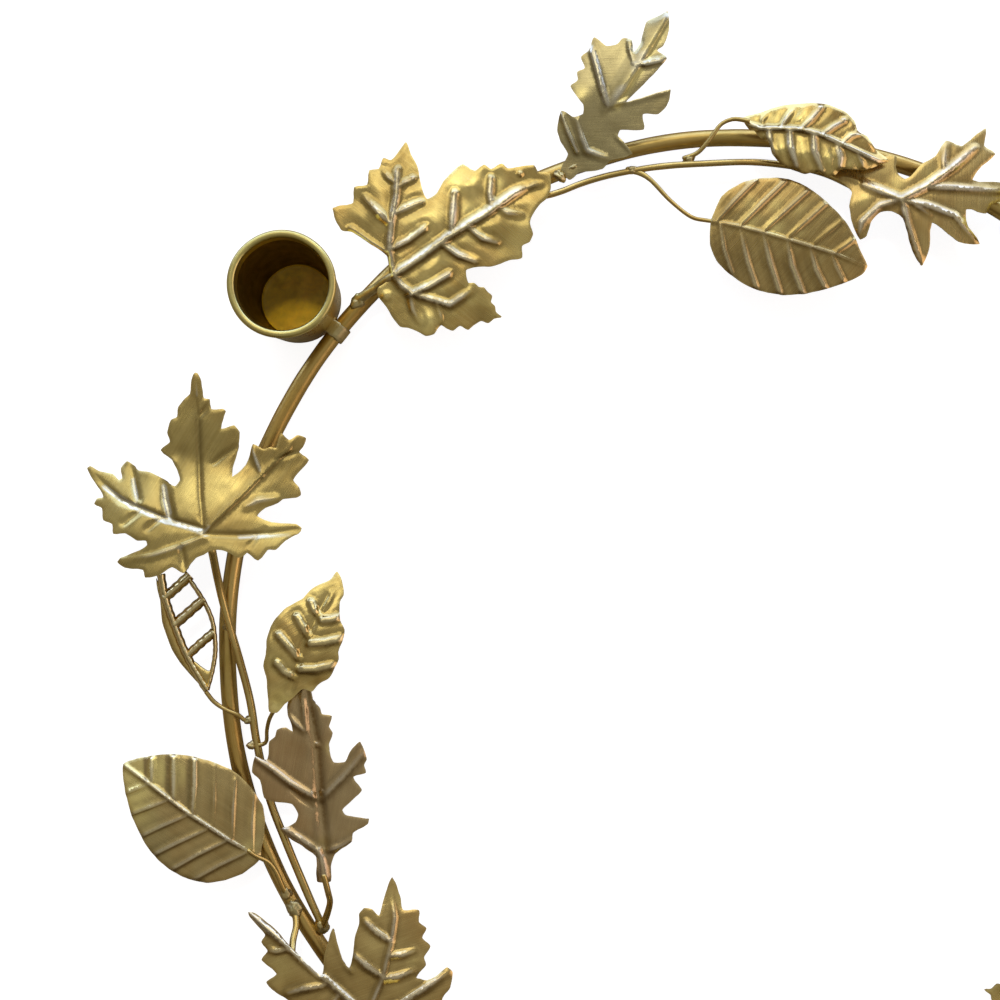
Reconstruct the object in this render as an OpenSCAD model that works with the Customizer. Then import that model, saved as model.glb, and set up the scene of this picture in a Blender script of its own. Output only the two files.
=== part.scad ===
// Leaf wreath candle ring for four taper candles.
// A round steel hoop carries four candle cups on small saddles. Thin branch
// wires and leaf stems are brazed to the hoop, and each stem ends in a leaf
// pressed from sheet. Units are millimetres. The origin is the centre of the
// hoop on the table plane and +Z is up.
//
// The foliage is laid out on an overhead drawing with a grid of 100 units,
// seen from view_h above the table, so a grid unit shrinks with height: see
// spot(). u runs to the right, v runs down the drawing.

/* [Hoop] */
// Radius of the hoop's centreline, mm; the foliage follows it
hoop_r = 136.8; // [125:0.2:150]
// Diameter of the hoop's rod, mm
rod_d = 4.4; // [3:0.1:5]
// Height of the rod's centre above the table, mm
rod_z = 5; // [4:0.1:6]

/* [Candle cups] */
// Number of candle cups, evenly spaced
cups = 4; // [4:4:4]
// Radius of the circle through the cup centres, less the hoop's radius, mm
cup_offset = 14.2; // [14:0.1:15]
// Direction of the first cup, degrees from +X
cup_angle = 141.5; // [138:0.5:145]
// Radius of the straight upper bore that holds a 22 mm taper, mm
bore_r = 11.5; // [11.2:0.1:11.8]
// Depth of the straight upper bore, mm
bore_depth = 12; // [8:1:16]
// Height of a cup, mm
cup_h = 28; // [24:1:32]
// Outer radius at the mouth, mm
mouth_r = 13.2; // [13:0.1:14]
// Outer radius at the foot, mm
foot_r = 11.4; // [11.2:0.1:11.8]
// Radius of the flat floor inside, mm
floor_r = 9.8; // [9:0.1:10]
// Thickness of the floor, mm
floor_t = 1.2; // [1:0.1:2]
// Width of the saddle that joins a cup to the hoop, mm
saddle_w = 4.2; // [3:0.2:6]

/* [Leaves] */
// Thickness of a leaf, mm
leaf_t = 0.8; // [0.6:0.1:1.2]
// How far the veins stand above the flat of a leaf, as a share of the drawn height
vein = 1; // [0.6:0.1:1.4]
// Lean of the openwork leaf about its own length, degrees
open_tilt = 32; // [20:1:40]

/* [Wires] */
// Diameter of the long branch wire along the top, mm
branch_d = 1.6; // [1.2:0.1:2]
// Diameter of the heavy branch wire at the side, mm
heavy_d = 2.2; // [1.8:0.1:2.6]
// Diameter of a leaf stem, mm
stem_d = 1.2; // [1:0.1:1.6]
// Radius of a brazing bead where a stem meets the hoop, mm
bead_r = 1.7; // [1.4:0.1:2.2]

/* [Hidden] */
$fa = 4;
$fs = 0.6;
view_h = 344;                       // height of the drawing's viewpoint
view_f = 126.9;                     // its scale, so that a unit is 2.7 mm at the table
view_x = -63.7;                     // where the drawing's middle falls
view_y = 40.2;
grow = hoop_r / 136.8;              // the foliage follows the hoop
top_z = rod_z + rod_d / 2;          // top of the rod
cup_r = hoop_r + cup_offset;
wire_sides = 8;

// ---------------------------------------------------------------- layout
// A point of the overhead drawing, [u, v, height], in millimetres.
function spot(p) = let (k = (view_h - p[2]) / view_f)
  [(view_x + (p[0] - 50) * k) * grow, (view_y - (p[1] - 50) * k) * grow, p[2]];

// Height of a leaf at (u, v): a tilted plane that droops away from its heart.
// form = [heart u, heart v, height, slope along u, slope along v, droop]
function rise(f, u, v) = f[2] + f[3] * (u - f[0]) + f[4] * (v - f[1])
  - f[5] * (pow(u - f[0], 2) + pow(v - f[1], 2));

// ------------------------------------------------------------------ leaf
// A pressed leaf. ribs are the points of its vein skeleton, [u, v, lift];
// rim runs clockwise round the edge, [u, v, rib], where rib is the skeleton
// point that the edge hangs on. Where rib changes, the leaf folds along the
// vein between the two.
module leaf(form, ribs, rim) {
  m = len(ribs);
  n = len(rim);
  top = concat(
    [for (r = ribs) spot([r[0], r[1], rise(form, r[0], r[1]) + r[2] * vein])],
    [for (e = rim) spot([e[0], e[1], rise(form, e[0], e[1])])]);
  low = [for (p = top) p - [0, 0, leaf_t]];
  up = [for (i = [0:n - 1]) let (j = (i + 1) % n, a = rim[i][2], b = rim[j][2])
    each concat([[a, m + i, m + j]], a == b ? [] : [[a, m + j, b]])];
  polyhedron(
    points = concat(top, low),
    faces = concat(
      up,
      [for (f = up) [f[0] + m + n, f[2] + m + n, f[1] + m + n]],
      [for (i = [0:n - 1]) let (j = (i + 1) % n)
        [m + j, m + i, m + n + m + i, m + n + m + j]]),
    convexity = 8);
}

// The same leaf, stem or wire on the far half of the ring.
module side(n) rotate([0, 0, 180 * (n - 1)]) children();

// ------------------------------------------------------------------ wire
// A smooth line through the points of path.
function bend(path, steps) = let (n = len(path)) concat(
  [for (i = [0:n - 2]) let (
      a = path[max(i - 1, 0)], b = path[i], c = path[i + 1],
      d = path[min(i + 2, n - 1)])
    for (s = [0:steps - 1]) let (t = s / steps)
      0.5 * (2 * b + (c - a) * t + (2 * a - 5 * b + 4 * c - d) * t * t
        + (3 * b - a - 3 * c + d) * t * t * t)],
  [path[n - 1]]);

// A round wire of diameter d along path, given on the overhead drawing.
module wire(path, d, steps = 3) {
  line = bend([for (p = path) spot(p)], steps);
  n = len(line);
  k = wire_sides;
  rings = [for (i = [0:n - 1]) let (
      t = line[min(i + 1, n - 1)] - line[max(i - 1, 0)],
      side = cross(t, [0, 0, 1]) / norm(cross(t, [0, 0, 1])),
      up = cross(side, t) / norm(cross(side, t)))
    for (j = [0:k - 1])
      line[i] + d / 2 * (cos(360 * j / k) * side + sin(360 * j / k) * up)];
  polyhedron(
    points = rings,
    faces = concat(
      [[for (j = [0:k - 1]) j]],
      [[for (j = [0:k - 1]) (n - 1) * k + k - 1 - j]],
      [for (i = [0:n - 2]) for (j = [0:k - 1]) let (q = (j + 1) % k)
        each [[i * k + j, (i + 1) * k + j, i * k + q],
              [i * k + q, (i + 1) * k + j, (i + 1) * k + q]]]),
    convexity = 6);
}

// ------------------------------------------------------------------ hoop
module hoop() color([0.50, 0.42, 0.26])
  translate([0, 0, rod_z]) rotate_extrude($fn = 180)
    translate([hoop_r, 0]) circle(d = rod_d, $fn = 24);

// ------------------------------------------------------------------ cups
module at_cup(n) rotate([0, 0, cup_angle + (n - 1) * 360 / cups]) children();

module cup(n) color([0.56, 0.50, 0.34])
  at_cup(n) translate([cup_r, 0, 0]) rotate_extrude($fn = 96)
    polygon([
      [0, 0], [foot_r - 0.3, 0], [foot_r, 0.3],
      [mouth_r, cup_h - 0.6], [mouth_r - 0.4, cup_h],
      [bore_r + 0.4, cup_h], [bore_r, cup_h - 0.5],
      [bore_r, cup_h - 0.5 - bore_depth],
      [floor_r, floor_t], [0, floor_t]]);

// A short tab from the wall of the cup over the rod.
module saddle(n) color([0.52, 0.47, 0.36])
  at_cup(n) translate([hoop_r - 0.6, -saddle_w / 2, rod_z - 1.4])
    cube([cup_offset - foot_r + 1.6, saddle_w, rod_d / 2 + 2.3]);

// ---------------------------------------------------------------- leaves
module maple_a(n) color([0.51, 0.45, 0.29]) side(n) leaf(
  [60.5, 12.8, 11.3, 0.45, -0.25, 0.02],
  [[60.5, 12.8, 1], [63.2, 7.4, 1.5], [59.8, 7.8, -1.2], [64.3, 10.8, 0.5],
   [57.6, 13.4, 1]],
  [[66.8, 1.1, 1], [66.9, 2.9, 1], [66.4, 4.5, 1], [65.7, 5, 1],
   [66.7, 5.8, 1], [65.9, 6.8, 1], [64, 8.8, 1], [62.6, 10.2, 0],
   [67.1, 8.9, 3], [66.7, 10.6, 3], [65.8, 11.4, 3], [64.3, 11.4, 3],
   [64.4, 12.9, 3], [62, 13, 0], [61.8, 13.6, 0], [63.3, 15.4, 0],
   [61, 16, 0], [60.3, 16.9, 0], [59, 17.1, 0], [57.9, 17.2, 0],
   [56.9, 18, 0], [56.1, 16.9, 0], [56.8, 15.4, 4], [56.1, 14.2, 4],
   [55.7, 13.1, 4], [56.1, 11, 4], [57.3, 11.7, 4], [58.3, 11.4, 0],
   [58.3, 10.4, 2], [57, 8.6, 2], [57.8, 8, 2], [57.7, 7.2, 2],
   [58.5, 6.8, 2], [58.1, 5.7, 2], [58.9, 5, 2], [59.4, 3.7, 2],
   [60.6, 4.6, 2], [61.7, 4.4, 2], [62.3, 3.8, 2], [63.2, 4, 2],
   [63.4, 5.2, 0], [64.1, 4.2, 1], [64.6, 2.2, 1], [66, 1.5, 1]]);

module maple_b(n) color([0.70, 0.60, 0.32]) side(n) leaf(
  [39.8, 27.2, 13, 0.10, -0.12, 0.015],
  [[39.8, 27.2, 1], [39.6, 19.5, 1.5], [45.2, 23.2, 1.5],
   [44, 29.2, 1], [49.6, 20.8, 1]],
  [[40.6, 14.2, 1], [41.1, 15.4, 1], [41.7, 16.5, 1], [42.2, 18.8, 1],
   [42.7, 19.9, 0],
   [43.7, 19.3, 2], [44.4, 18, 2], [45.5, 16.9, 2], [46.3, 16.4, 2],
   [47.5, 17.1, 2], [48.4, 16.4, 4], [49.1, 16.9, 4], [50.2, 16.3, 4],
   [50.8, 16.8, 4], [53.4, 16.5, 4], [53.8, 17.2, 4], [55, 17.3, 4],
   [54.7, 19.5, 4], [53.3, 21.4, 4], [53.3, 23.6, 4], [52.2, 24.6, 4],
   [52.2, 25.8, 4], [49.3, 26.7, 2], [47.6, 26.7, 2], [46.5, 27.2, 0],
   [47, 28.4, 3], [48.2, 28.7, 3], [49, 29.6, 3], [50.1, 31.7, 3],
   [48.4, 32.4, 3], [46.8, 32.9, 3], [45.3, 33.1, 3], [44.1, 32.5, 3],
   [42.9, 33.6, 3], [41.5, 32.9, 0], [40.1, 32.6, 0], [38.9, 31.5, 0],
   [37.6, 29.3, 0], [38.3, 28.5, 0], [38.9, 27.3, 0], [38.7, 25.6, 0],
   [37, 24.4, 1], [35.2, 23.2, 1], [34.1, 23, 1], [33.2, 20.8, 1],
   [35.3, 20.3, 1], [35.4, 18.7, 1], [36.7, 18.5, 1], [36.9, 17, 1],
   [37.9, 16.9, 1], [38.3, 15.8, 1], [39.1, 16, 1], [40, 15, 1]]);

module wavy_c(n) color([0.60, 0.52, 0.28]) side(n) leaf(
  [81, 13.5, 16, 0.25, 0.05, 0.06],
  [[75.5, 12.6, 1], [79, 12.9, 3.5], [82.8, 13.8, 3.5], [86, 15.2, 2]],
  [[74.2, 11.8, 0], [76.2, 11.2, 0], [77.6, 10.7, 1], [79.2, 10.4, 1],
   [81.2, 10.3, 1], [83, 10.5, 2], [84.6, 11.2, 2], [85.5, 12.2, 2],
   [85.8, 13.1, 3], [86.8, 13.7, 3], [87.6, 15, 3], [88.9, 16.1, 3],
   [88, 16.5, 3], [86.5, 17, 3], [84, 17, 2], [83.5, 17.5, 2],
   [82.3, 17.6, 2], [81.5, 17.2, 2], [80.5, 17.4, 1], [79.2, 17, 1],
   [77.9, 16.2, 1], [77.2, 15.4, 1], [76, 14.9, 0], [75.4, 14, 0],
   [74.9, 13, 0]]);

module oval_d(n) color([0.48, 0.41, 0.25]) side(n) leaf(
  [78.5, 23.8, 13, 0, 0.04, 0.03],
  [[73, 22.5, 1], [77.5, 23.8, 2.5], [81.5, 24.8, 2.5], [84.2, 25.8, 1]],
  [[71.2, 22, 0], [71.6, 20.8, 0], [72.2, 19.6, 0], [73.2, 18.8, 0],
   [74.6, 18.1, 0], [76.5, 17.8, 1], [78.4, 17.8, 1], [80, 18.3, 1],
   [81.4, 19.1, 2], [82.6, 20.1, 2], [83.8, 21.3, 2], [84.6, 22.2, 3],
   [85.6, 23.9, 3], [86.1, 25.2, 3], [86.8, 26.6, 3], [86.2, 27.5, 3],
   [84.5, 28.3, 3], [82.6, 28.9, 2], [80.5, 29.4, 2], [78.2, 29.5, 1],
   [76, 29.1, 1], [74.2, 28.3, 0], [72.8, 27.3, 0], [71.6, 26, 0],
   [71, 24.4, 0], [71, 23, 0]]);

module maple_e(n) color([0.55, 0.47, 0.28]) side(n) leaf(
  [90.2, 20, 12, 0.10, 0.10, 0.03],
  [[90.2, 20, 1], [88.4, 18, 1], [95.2, 16.8, 1.5], [97.6, 19.4, 1],
   [94.8, 21.6, 1], [91.8, 23.2, 1], [86.9, 20.2, 1]],
  [[89.8, 15.6, 1], [89.6, 17, 1], [90.5, 17.9, 0],
   [91.3, 17.4, 2], [92.2, 16.4, 2], [93.6, 15.6, 2], [94.6, 14, 2],
   [96.2, 14.6, 2], [98.6, 12.8, 2], [98.4, 14.6, 2], [99.6, 15.4, 2],
   [98.2, 16.6, 2], [97.2, 18, 0],
   [99.4, 18.2, 3], [101.6, 18.6, 3], [100.6, 20, 3], [99.2, 20.4, 3],
   [98.6, 21.4, 3], [96.6, 20.9, 0],
   [96.8, 22.6, 4], [98, 24.4, 4], [96, 24.2, 4], [94.6, 23.2, 4],
   [93.2, 22.2, 0],
   [93, 24.6, 5], [92.2, 26.6, 5], [91.2, 25, 5], [90.7, 23.2, 5],
   [90.3, 21.8, 0],
   [89.2, 21.1, 6], [88, 21.2, 6], [87.1, 22.2, 6], [86.7, 23.6, 6],
   [86, 24, 6], [85.3, 22.6, 6], [84.9, 20.6, 6], [85.2, 19.2, 6],
   [84.5, 18.4, 0], [83.6, 17.6, 1], [85, 17, 1], [87, 17.1, 1],
   [88.4, 16.4, 1], [89, 16, 1]]);

module maple_f(n) color([0.62, 0.53, 0.31]) side(n) leaf(
  [20.3, 52.8, 17.9, 0, 0.30, 0.018],
  [[20.3, 52.8, -0.5], [19.7, 45, -1], [26.8, 47.4, -1], [26, 53.7, -1],
   [16.5, 55.4, 1], [14, 50.2, -1]],
  [[19.6, 37.3, 1], [20.2, 39.9, 1], [21, 40, 1], [21.1, 40.9, 1],
   [22.5, 41, 1], [22.1, 42.9, 1], [23.3, 42.5, 1], [24, 43.3, 1],
   [23.8, 45.5, 1], [23.1, 47.8, 0],
   [24.4, 46.9, 2], [25.2, 44.4, 2], [26.3, 45, 2], [27.6, 44.8, 2],
   [28.2, 43.3, 2], [29, 44, 2], [30.6, 43.7, 2], [29.9, 45.2, 2],
   [30.9, 46, 2], [29.3, 48, 2], [30.1, 49, 2], [29.7, 49.8, 2],
   [27.8, 50.2, 2], [25.7, 51.6, 0],
   [28, 52.3, 3], [30.2, 52.8, 3], [28.7, 54, 3], [27.4, 55.1, 3],
   [25.4, 56.1, 3], [24.6, 55.4, 3], [23.8, 55.9, 0], [22.4, 55.1, 0],
   [21.2, 55, 0], [20.4, 55.5, 0],
   [19, 56.5, 4], [18.2, 57.3, 4], [17, 56.7, 4], [14.4, 57.9, 4],
   [14.2, 57.1, 4], [11.8, 56.4, 4], [14.2, 54.9, 4], [14.6, 54.1, 0],
   [13.2, 54, 5], [12.5, 53.3, 5], [11.3, 53.4, 5], [11.2, 52.4, 5],
   [10.3, 52, 5], [10.2, 50.8, 5], [9.4, 50.3, 5], [10.3, 49.6, 5],
   [9.2, 47.8, 5], [8.8, 46.8, 5], [10, 47.1, 5], [11.9, 48, 5],
   [12.1, 46.8, 5], [12.8, 46.1, 5], [13.9, 47, 5], [16.2, 47.8, 5],
   [17.5, 48.6, 0],
   [17.9, 47.6, 1], [17.2, 46, 1], [16, 45, 1], [17, 44.1, 1],
   [16.8, 43, 1], [17.7, 41.6, 1], [18.3, 40, 1], [19.1, 39.4, 1]]);

// An openwork leaf: a flat frame with windows between its side bars. x runs
// from the base to the tip, y towards the outside of the ring, in plan.
open_edge = [[0, 0], [4.6, -3.1], [9.8, -5.7], [16, -6.9], [23.3, -6.7],
  [30, -4.8], [34.5, -2], [37.8, 0.5], [34, 3.4], [27, 5.3], [21.4, 6.3],
  [15, 5.7], [9.2, 3.7], [3.5, 1.6]];
open_windows = [
  [[21.2, 1.4], [25.6, 1.6], [28.6, -4.2], [24.4, -5.6]],
  [[12.2, 0.8], [19, 1.2], [22.2, -5.6], [15.4, -5.8]],
  [[6, -0.4], [10.2, 0.6], [13.2, -5.2], [9.8, -4.4], [6, -2.6]]];

module open_g(n) color([0.54, 0.48, 0.33]) side(n)
  translate(spot([20.6, 69.2, 9.2])) rotate([0, 0, 108]) rotate([-open_tilt, 0, 0])
    translate([0, 0, -leaf_t / 2]) linear_extrude(leaf_t) difference() {
      polygon([for (p = open_edge) [p[0], p[1] / cos(open_tilt)]]);
      for (w = open_windows)
        polygon([for (p = w) [p[0], p[1] / cos(open_tilt)]]);
    }

module wavy_h(n) color([0.52, 0.44, 0.24]) side(n) leaf(
  [30.4, 64.5, 15, 0.02, 0.25, 0.04],
  [[28.6, 68.8, 1], [29.9, 66, 2.5], [31.2, 62.8, 2.5], [32.8, 59.8, 1.5]],
  [[33.7, 57.1, 3], [34.2, 58, 3], [34.4, 59.5, 3], [34, 60.2, 3],
   [34, 62, 2], [34.5, 63, 2], [34.3, 64.1, 2], [33.8, 65.2, 1],
   [33.9, 65.9, 1], [33.5, 66.8, 1], [32.9, 67.8, 1], [31.8, 68.5, 0],
   [31, 69.2, 0], [30, 68.9, 0], [29, 69.9, 0], [28.4, 70.5, 0],
   [27.7, 71.3, 0], [26.9, 71.2, 0], [26.8, 70, 0], [26.7, 68.5, 0],
   [26.6, 67.6, 0], [26.3, 66.6, 1], [26.6, 65.4, 1], [26.6, 64, 1],
   [27, 62.8, 1], [27.6, 61.8, 2], [28.6, 60.8, 2], [29.6, 60.2, 2],
   [30.3, 59.8, 3], [31, 59, 3], [32, 58.4, 3], [33, 58, 3]]);

module maple_i(n) color([0.44, 0.36, 0.22]) side(n) leaf(
  [31.8, 79.5, 12.6, 0.25, -0.05, 0.01],
  [[31.8, 79.5, 1], [31, 72.5, 1.5], [34.2, 78, 1], [34.2, 82.8, 0.5],
   [30.6, 83.2, 1], [28.2, 77.2, 1.5]],
  [[29.9, 66.8, 1], [31, 69, 1], [31.2, 70, 1], [32, 70.8, 1],
   [32.2, 71.4, 1], [33.2, 71.6, 1], [32.9, 72.6, 1], [33.3, 73.3, 1],
   [32.9, 74.5, 1], [33.3, 76.2, 0],
   [34.5, 76.2, 2], [35, 75.2, 2], [36, 74.1, 2], [36.7, 75.9, 2],
   [36.4, 76.5, 2], [36.6, 77.3, 2], [35.3, 77.7, 2], [36.2, 79, 2],
   [35, 80.2, 2], [34.2, 81, 0],
   [35.6, 81.7, 3], [36.9, 81.9, 3], [36.8, 82.4, 3], [35.3, 83.3, 3],
   [35.2, 84.2, 3], [33.5, 85.4, 0], [32.9, 85.8, 0], [31.7, 85.7, 0],
   [30.2, 84.6, 4], [28.6, 83.6, 4], [28, 82.9, 4], [28.8, 82.7, 4],
   [29.6, 82.2, 0], [29.8, 81.4, 0], [29.2, 80.4, 0],
   [27.3, 80.2, 5], [26.4, 79.8, 5], [26, 78, 5], [25.2, 77.2, 5],
   [25.5, 75.6, 5], [26.7, 76, 5], [26.9, 74.2, 5], [27.5, 73.7, 5],
   [27.7, 73, 5], [28.6, 72.7, 5], [29.3, 73.2, 0],
   [28.8, 71.6, 1], [28.7, 70.6, 1], [28.9, 69.6, 1], [29.3, 68, 1]]);

module oval_j(n) color([0.53, 0.46, 0.29]) side(n) leaf(
  [19.5, 81.6, 13, -0.05, 0.10, 0.04],
  [[23.5, 84.3, 0.8], [20.5, 82.6, 1.5], [17.5, 80.3, 1.5], [14.5, 78, 0.8]],
  [[12.3, 76.4, 3], [13.2, 76, 3], [14.9, 75.6, 3], [17, 75.4, 2],
   [19, 75.6, 2], [21, 76.1, 1], [23, 76.9, 1], [24.1, 77.7, 1],
   [25.3, 79, 0], [26.2, 80.4, 0], [26.5, 81.8, 0], [26.4, 83.6, 0],
   [26.1, 85, 0], [26, 85.9, 0], [25.2, 86.7, 0], [24.2, 87.4, 0],
   [22.6, 88, 0], [20.6, 88.3, 1], [18.8, 87.9, 1], [17.2, 87.1, 1],
   [15.8, 86, 2], [14.7, 84.7, 2], [13.8, 83, 3], [13.2, 81.7, 3],
   [12.7, 80, 3], [12.3, 78, 3]]);

module maple_k(n) color([0.47, 0.38, 0.23]) side(n) leaf(
  [36.2, 101.2, 14, 0.05, -0.30, 0.02],
  [[36.2, 101.2, 1], [39, 95.4, 1.5], [42.9, 99, 1], [42.4, 104, 1],
   [37.4, 103.6, 1], [31.8, 104, 1], [29.2, 97.2, 1.5], [33.4, 97, 1]],
  [[39, 87.8, 1], [39.7, 88.6, 1], [40.1, 90, 1], [40.3, 90.9, 1],
   [41.8, 91, 1], [41.8, 92.2, 1], [42.6, 92.7, 1], [42.2, 93.8, 1],
   [43.1, 94.6, 1], [42.4, 95.7, 1], [42.5, 96.6, 1], [41.6, 97.8, 0],
   [42.6, 98, 2], [43.8, 97.5, 2], [44.7, 96.8, 2], [45.2, 97.3, 2],
   [45, 98.8, 2], [44.2, 99.9, 2], [44.4, 101, 2], [42.4, 101.8, 0],
   [44.2, 103.2, 3], [45.4, 105.4, 3], [43.2, 105.6, 3], [42.4, 106.6, 3],
   [40.2, 105.2, 0],
   [38.8, 105.4, 4], [37.6, 105.6, 4], [36.4, 105.2, 4], [35.2, 104.8, 0],
   [34, 107, 5], [32.2, 107, 5], [30.8, 106.2, 5], [29.6, 104.6, 5],
   [30.6, 103.2, 5], [30.6, 102, 0],
   [28.8, 100, 6], [27.2, 99, 6], [26.6, 98.2, 6], [27.7, 97.4, 6],
   [26.1, 96, 6], [26.8, 95.1, 6], [26.1, 94.2, 6], [26.5, 93.5, 6],
   [25, 91.8, 6], [24.8, 91.3, 6], [25.5, 91.4, 6], [27.6, 93, 6],
   [29.2, 94.8, 6], [31, 96.6, 6], [32.2, 97.6, 0],
   [32.4, 95.8, 7], [32.9, 93.8, 7], [33.3, 92.8, 7], [33.7, 94.2, 7],
   [34.2, 95.8, 7], [34.9, 96.8, 0],
   [35.2, 95.2, 1], [35.5, 93.6, 1], [35.9, 92.4, 1], [35.9, 91.4, 1],
   [36.4, 90.8, 1], [37.2, 91, 1], [37.9, 91.6, 1], [38.2, 90.4, 1],
   [38.7, 88.9, 1]]);

// ----------------------------------------------------------------- wires
module branch_top(n) color([0.50, 0.43, 0.26]) side(n) wire(
  [[52.2, 19.2, top_z + 0.2], [54.4, 19.6, 7.6], [56.4, 19.1, 7.6],
   [58, 18.4, 7.8], [64, 16.9, 8], [70, 16.3, 8], [76, 16.2, 8],
   [82, 17.2, 8], [86.4, 19.2, 8.6], [89.2, 20.2, 11]], branch_d);

module branch_side(n) color([0.50, 0.43, 0.26]) side(n) wire(
  [[21.2, 55, 16.9], [21.8, 58, 11.6], [22.6, 62, top_z + 1], [23.8, 66, top_z + 0.8],
   [25, 70, 7.2], [25.8, 74.4, 7], [27, 79.7, 6.6], [29, 85.4, 6.2],
   [31, 90.2, 6], [32.3, 92.6, 6]], heavy_d);

module stem_b(n) color([0.50, 0.43, 0.26]) side(n) wire(
  [[35.8, 30.2, top_z - 0.3], [36.8, 29.3, 8.6], [38.2, 28.4, 10.8], [39.4, 27.6, 13]],
  stem_d * 1.4);

module stem_c(n) color([0.50, 0.43, 0.26]) side(n) wire(
  [[68.4, 15.8, 7.8], [69.6, 15.4, 8.6], [70.8, 14.2, 10], [72, 12.5, 11],
   [73.2, 11.9, 11.6], [75.2, 12.2, 13]], stem_d);

module stem_d(n) color([0.50, 0.43, 0.26]) side(n) wire(
  [[62.8, 17, 8], [64.8, 17.7, 8.2], [66, 18.8, 8.4], [67.2, 20.2, 8.8],
   [68.6, 21.4, 9.4], [70, 21.9, 9.8], [72.6, 22.3, 11.4]], stem_d);

module stem_g(n) color([0.50, 0.43, 0.26]) side(n) wire(
  [[20.6, 69.2, 9.2], [21.4, 70.3, 8.8], [22.4, 70.9, 8.4], [23.4, 71.4, 8],
   [24.3, 72.2, 7.2], [25.2, 72.1, 7]], stem_d);

module stem_h(n) color([0.50, 0.43, 0.26]) side(n) wire(
  [[27.6, 70.4, 14.2], [26.8, 72, 11.6], [26.5, 73.4, 9.2], [26.3, 74.4, 7.8],
   [25.6, 74.6, 7]], stem_d);

module stem_i(n) color([0.50, 0.43, 0.26]) side(n) wire(
  [[32.3, 84.6, 12.6], [32.4, 86.4, 11.6], [32.5, 88.2, 9.6], [32.8, 89.8, 8],
   [32.7, 91.4, 6.8], [32.2, 92.8, 6.2]], stem_d * 1.3);

module stem_j(n) color([0.50, 0.43, 0.26]) side(n) wire(
  [[24.4, 84.8, 11.4], [25.6, 85.6, 9.6], [27.2, 86.2, 8.4], [28, 87.8, 7.4],
   [28.6, 89.4, top_z - 0.3]], stem_d);

module stem_k(n) color([0.50, 0.43, 0.26]) side(n) wire(
  [[29, 90, top_z - 0.2], [29.8, 91.2, 7.8], [29.7, 92.6, 9], [29.3, 94, 11.2],
   [29.4, 96.4, 13.8]], stem_d * 1.3);

// Brazing beads where the stems and branches meet the hoop.
module beads(n) color([0.52, 0.46, 0.30]) side(n) {
  for (p = [[52.4, 19.2, top_z - 0.6], [35.9, 30.1, top_z - 0.6],
            [68.4, 15.5, top_z - 0.4], [22.8, 62.6, top_z - 0.2],
            [28.6, 89.3, top_z - 0.6], [29.4, 90.6, top_z - 0.6],
            [57.4, 16.8, top_z - 0.4]])
    translate(spot(p)) sphere(r = bead_r, $fn = 24);
}

hoop();
cup(1);  // cup_1
cup(2);  // cup_2
cup(3);  // cup_3
cup(4);  // cup_4
saddle(1);  // saddle_1
saddle(2);  // saddle_2
saddle(3);  // saddle_3
saddle(4);  // saddle_4
maple_a(1);  // maple_a1
maple_b(1);  // maple_b1
wavy_c(1);  // wavy_c1
oval_d(1);  // oval_d1
maple_e(1);  // maple_e1
maple_f(1);  // maple_f1
open_g(1);  // open_g1
wavy_h(1);  // wavy_h1
maple_i(1);  // maple_i1
oval_j(1);  // oval_j1
maple_k(1);  // maple_k1
maple_a(2);  // maple_a2
maple_b(2);  // maple_b2
wavy_c(2);  // wavy_c2
oval_d(2);  // oval_d2
maple_e(2);  // maple_e2
maple_f(2);  // maple_f2
open_g(2);  // open_g2
wavy_h(2);  // wavy_h2
maple_i(2);  // maple_i2
oval_j(2);  // oval_j2
maple_k(2);  // maple_k2
branch_top(1);  // branch_top1
branch_side(1);  // branch_side1
branch_top(2);  // branch_top2
branch_side(2);  // branch_side2
stem_b(1);  // stem_b1
stem_c(1);  // stem_c1
stem_d(1);  // stem_d1
stem_g(1);  // stem_g1
stem_h(1);  // stem_h1
stem_i(1);  // stem_i1
stem_j(1);  // stem_j1
stem_k(1);  // stem_k1
stem_b(2);  // stem_b2
stem_c(2);  // stem_c2
stem_d(2);  // stem_d2
stem_g(2);  // stem_g2
stem_h(2);  // stem_h2
stem_i(2);  // stem_i2
stem_j(2);  // stem_j2
stem_k(2);  // stem_k2
beads(1);  // beads_1
beads(2);  // beads_2
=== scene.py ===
import bpy
import math
import numpy as np
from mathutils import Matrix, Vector, noise
from mathutils.geometry import delaunay_2d_cdt


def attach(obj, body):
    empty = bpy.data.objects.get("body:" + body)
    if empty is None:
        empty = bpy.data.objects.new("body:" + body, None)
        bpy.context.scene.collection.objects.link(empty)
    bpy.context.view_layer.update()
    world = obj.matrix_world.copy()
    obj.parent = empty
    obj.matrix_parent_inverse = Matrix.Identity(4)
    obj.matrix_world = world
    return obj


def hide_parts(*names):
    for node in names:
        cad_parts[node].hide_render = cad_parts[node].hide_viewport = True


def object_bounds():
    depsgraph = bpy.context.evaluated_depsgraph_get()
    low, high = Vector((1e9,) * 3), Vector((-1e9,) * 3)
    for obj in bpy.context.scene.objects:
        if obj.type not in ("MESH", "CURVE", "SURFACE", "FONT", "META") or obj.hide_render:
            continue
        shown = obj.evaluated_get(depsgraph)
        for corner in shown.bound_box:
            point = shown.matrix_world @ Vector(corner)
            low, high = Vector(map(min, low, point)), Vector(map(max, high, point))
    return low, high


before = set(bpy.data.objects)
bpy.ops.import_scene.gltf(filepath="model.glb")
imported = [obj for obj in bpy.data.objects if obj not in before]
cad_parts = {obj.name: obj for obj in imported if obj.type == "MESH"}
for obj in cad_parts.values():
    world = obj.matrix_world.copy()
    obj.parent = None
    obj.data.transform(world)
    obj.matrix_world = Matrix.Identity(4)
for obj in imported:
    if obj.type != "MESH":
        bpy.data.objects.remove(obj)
cad_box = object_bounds()

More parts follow.
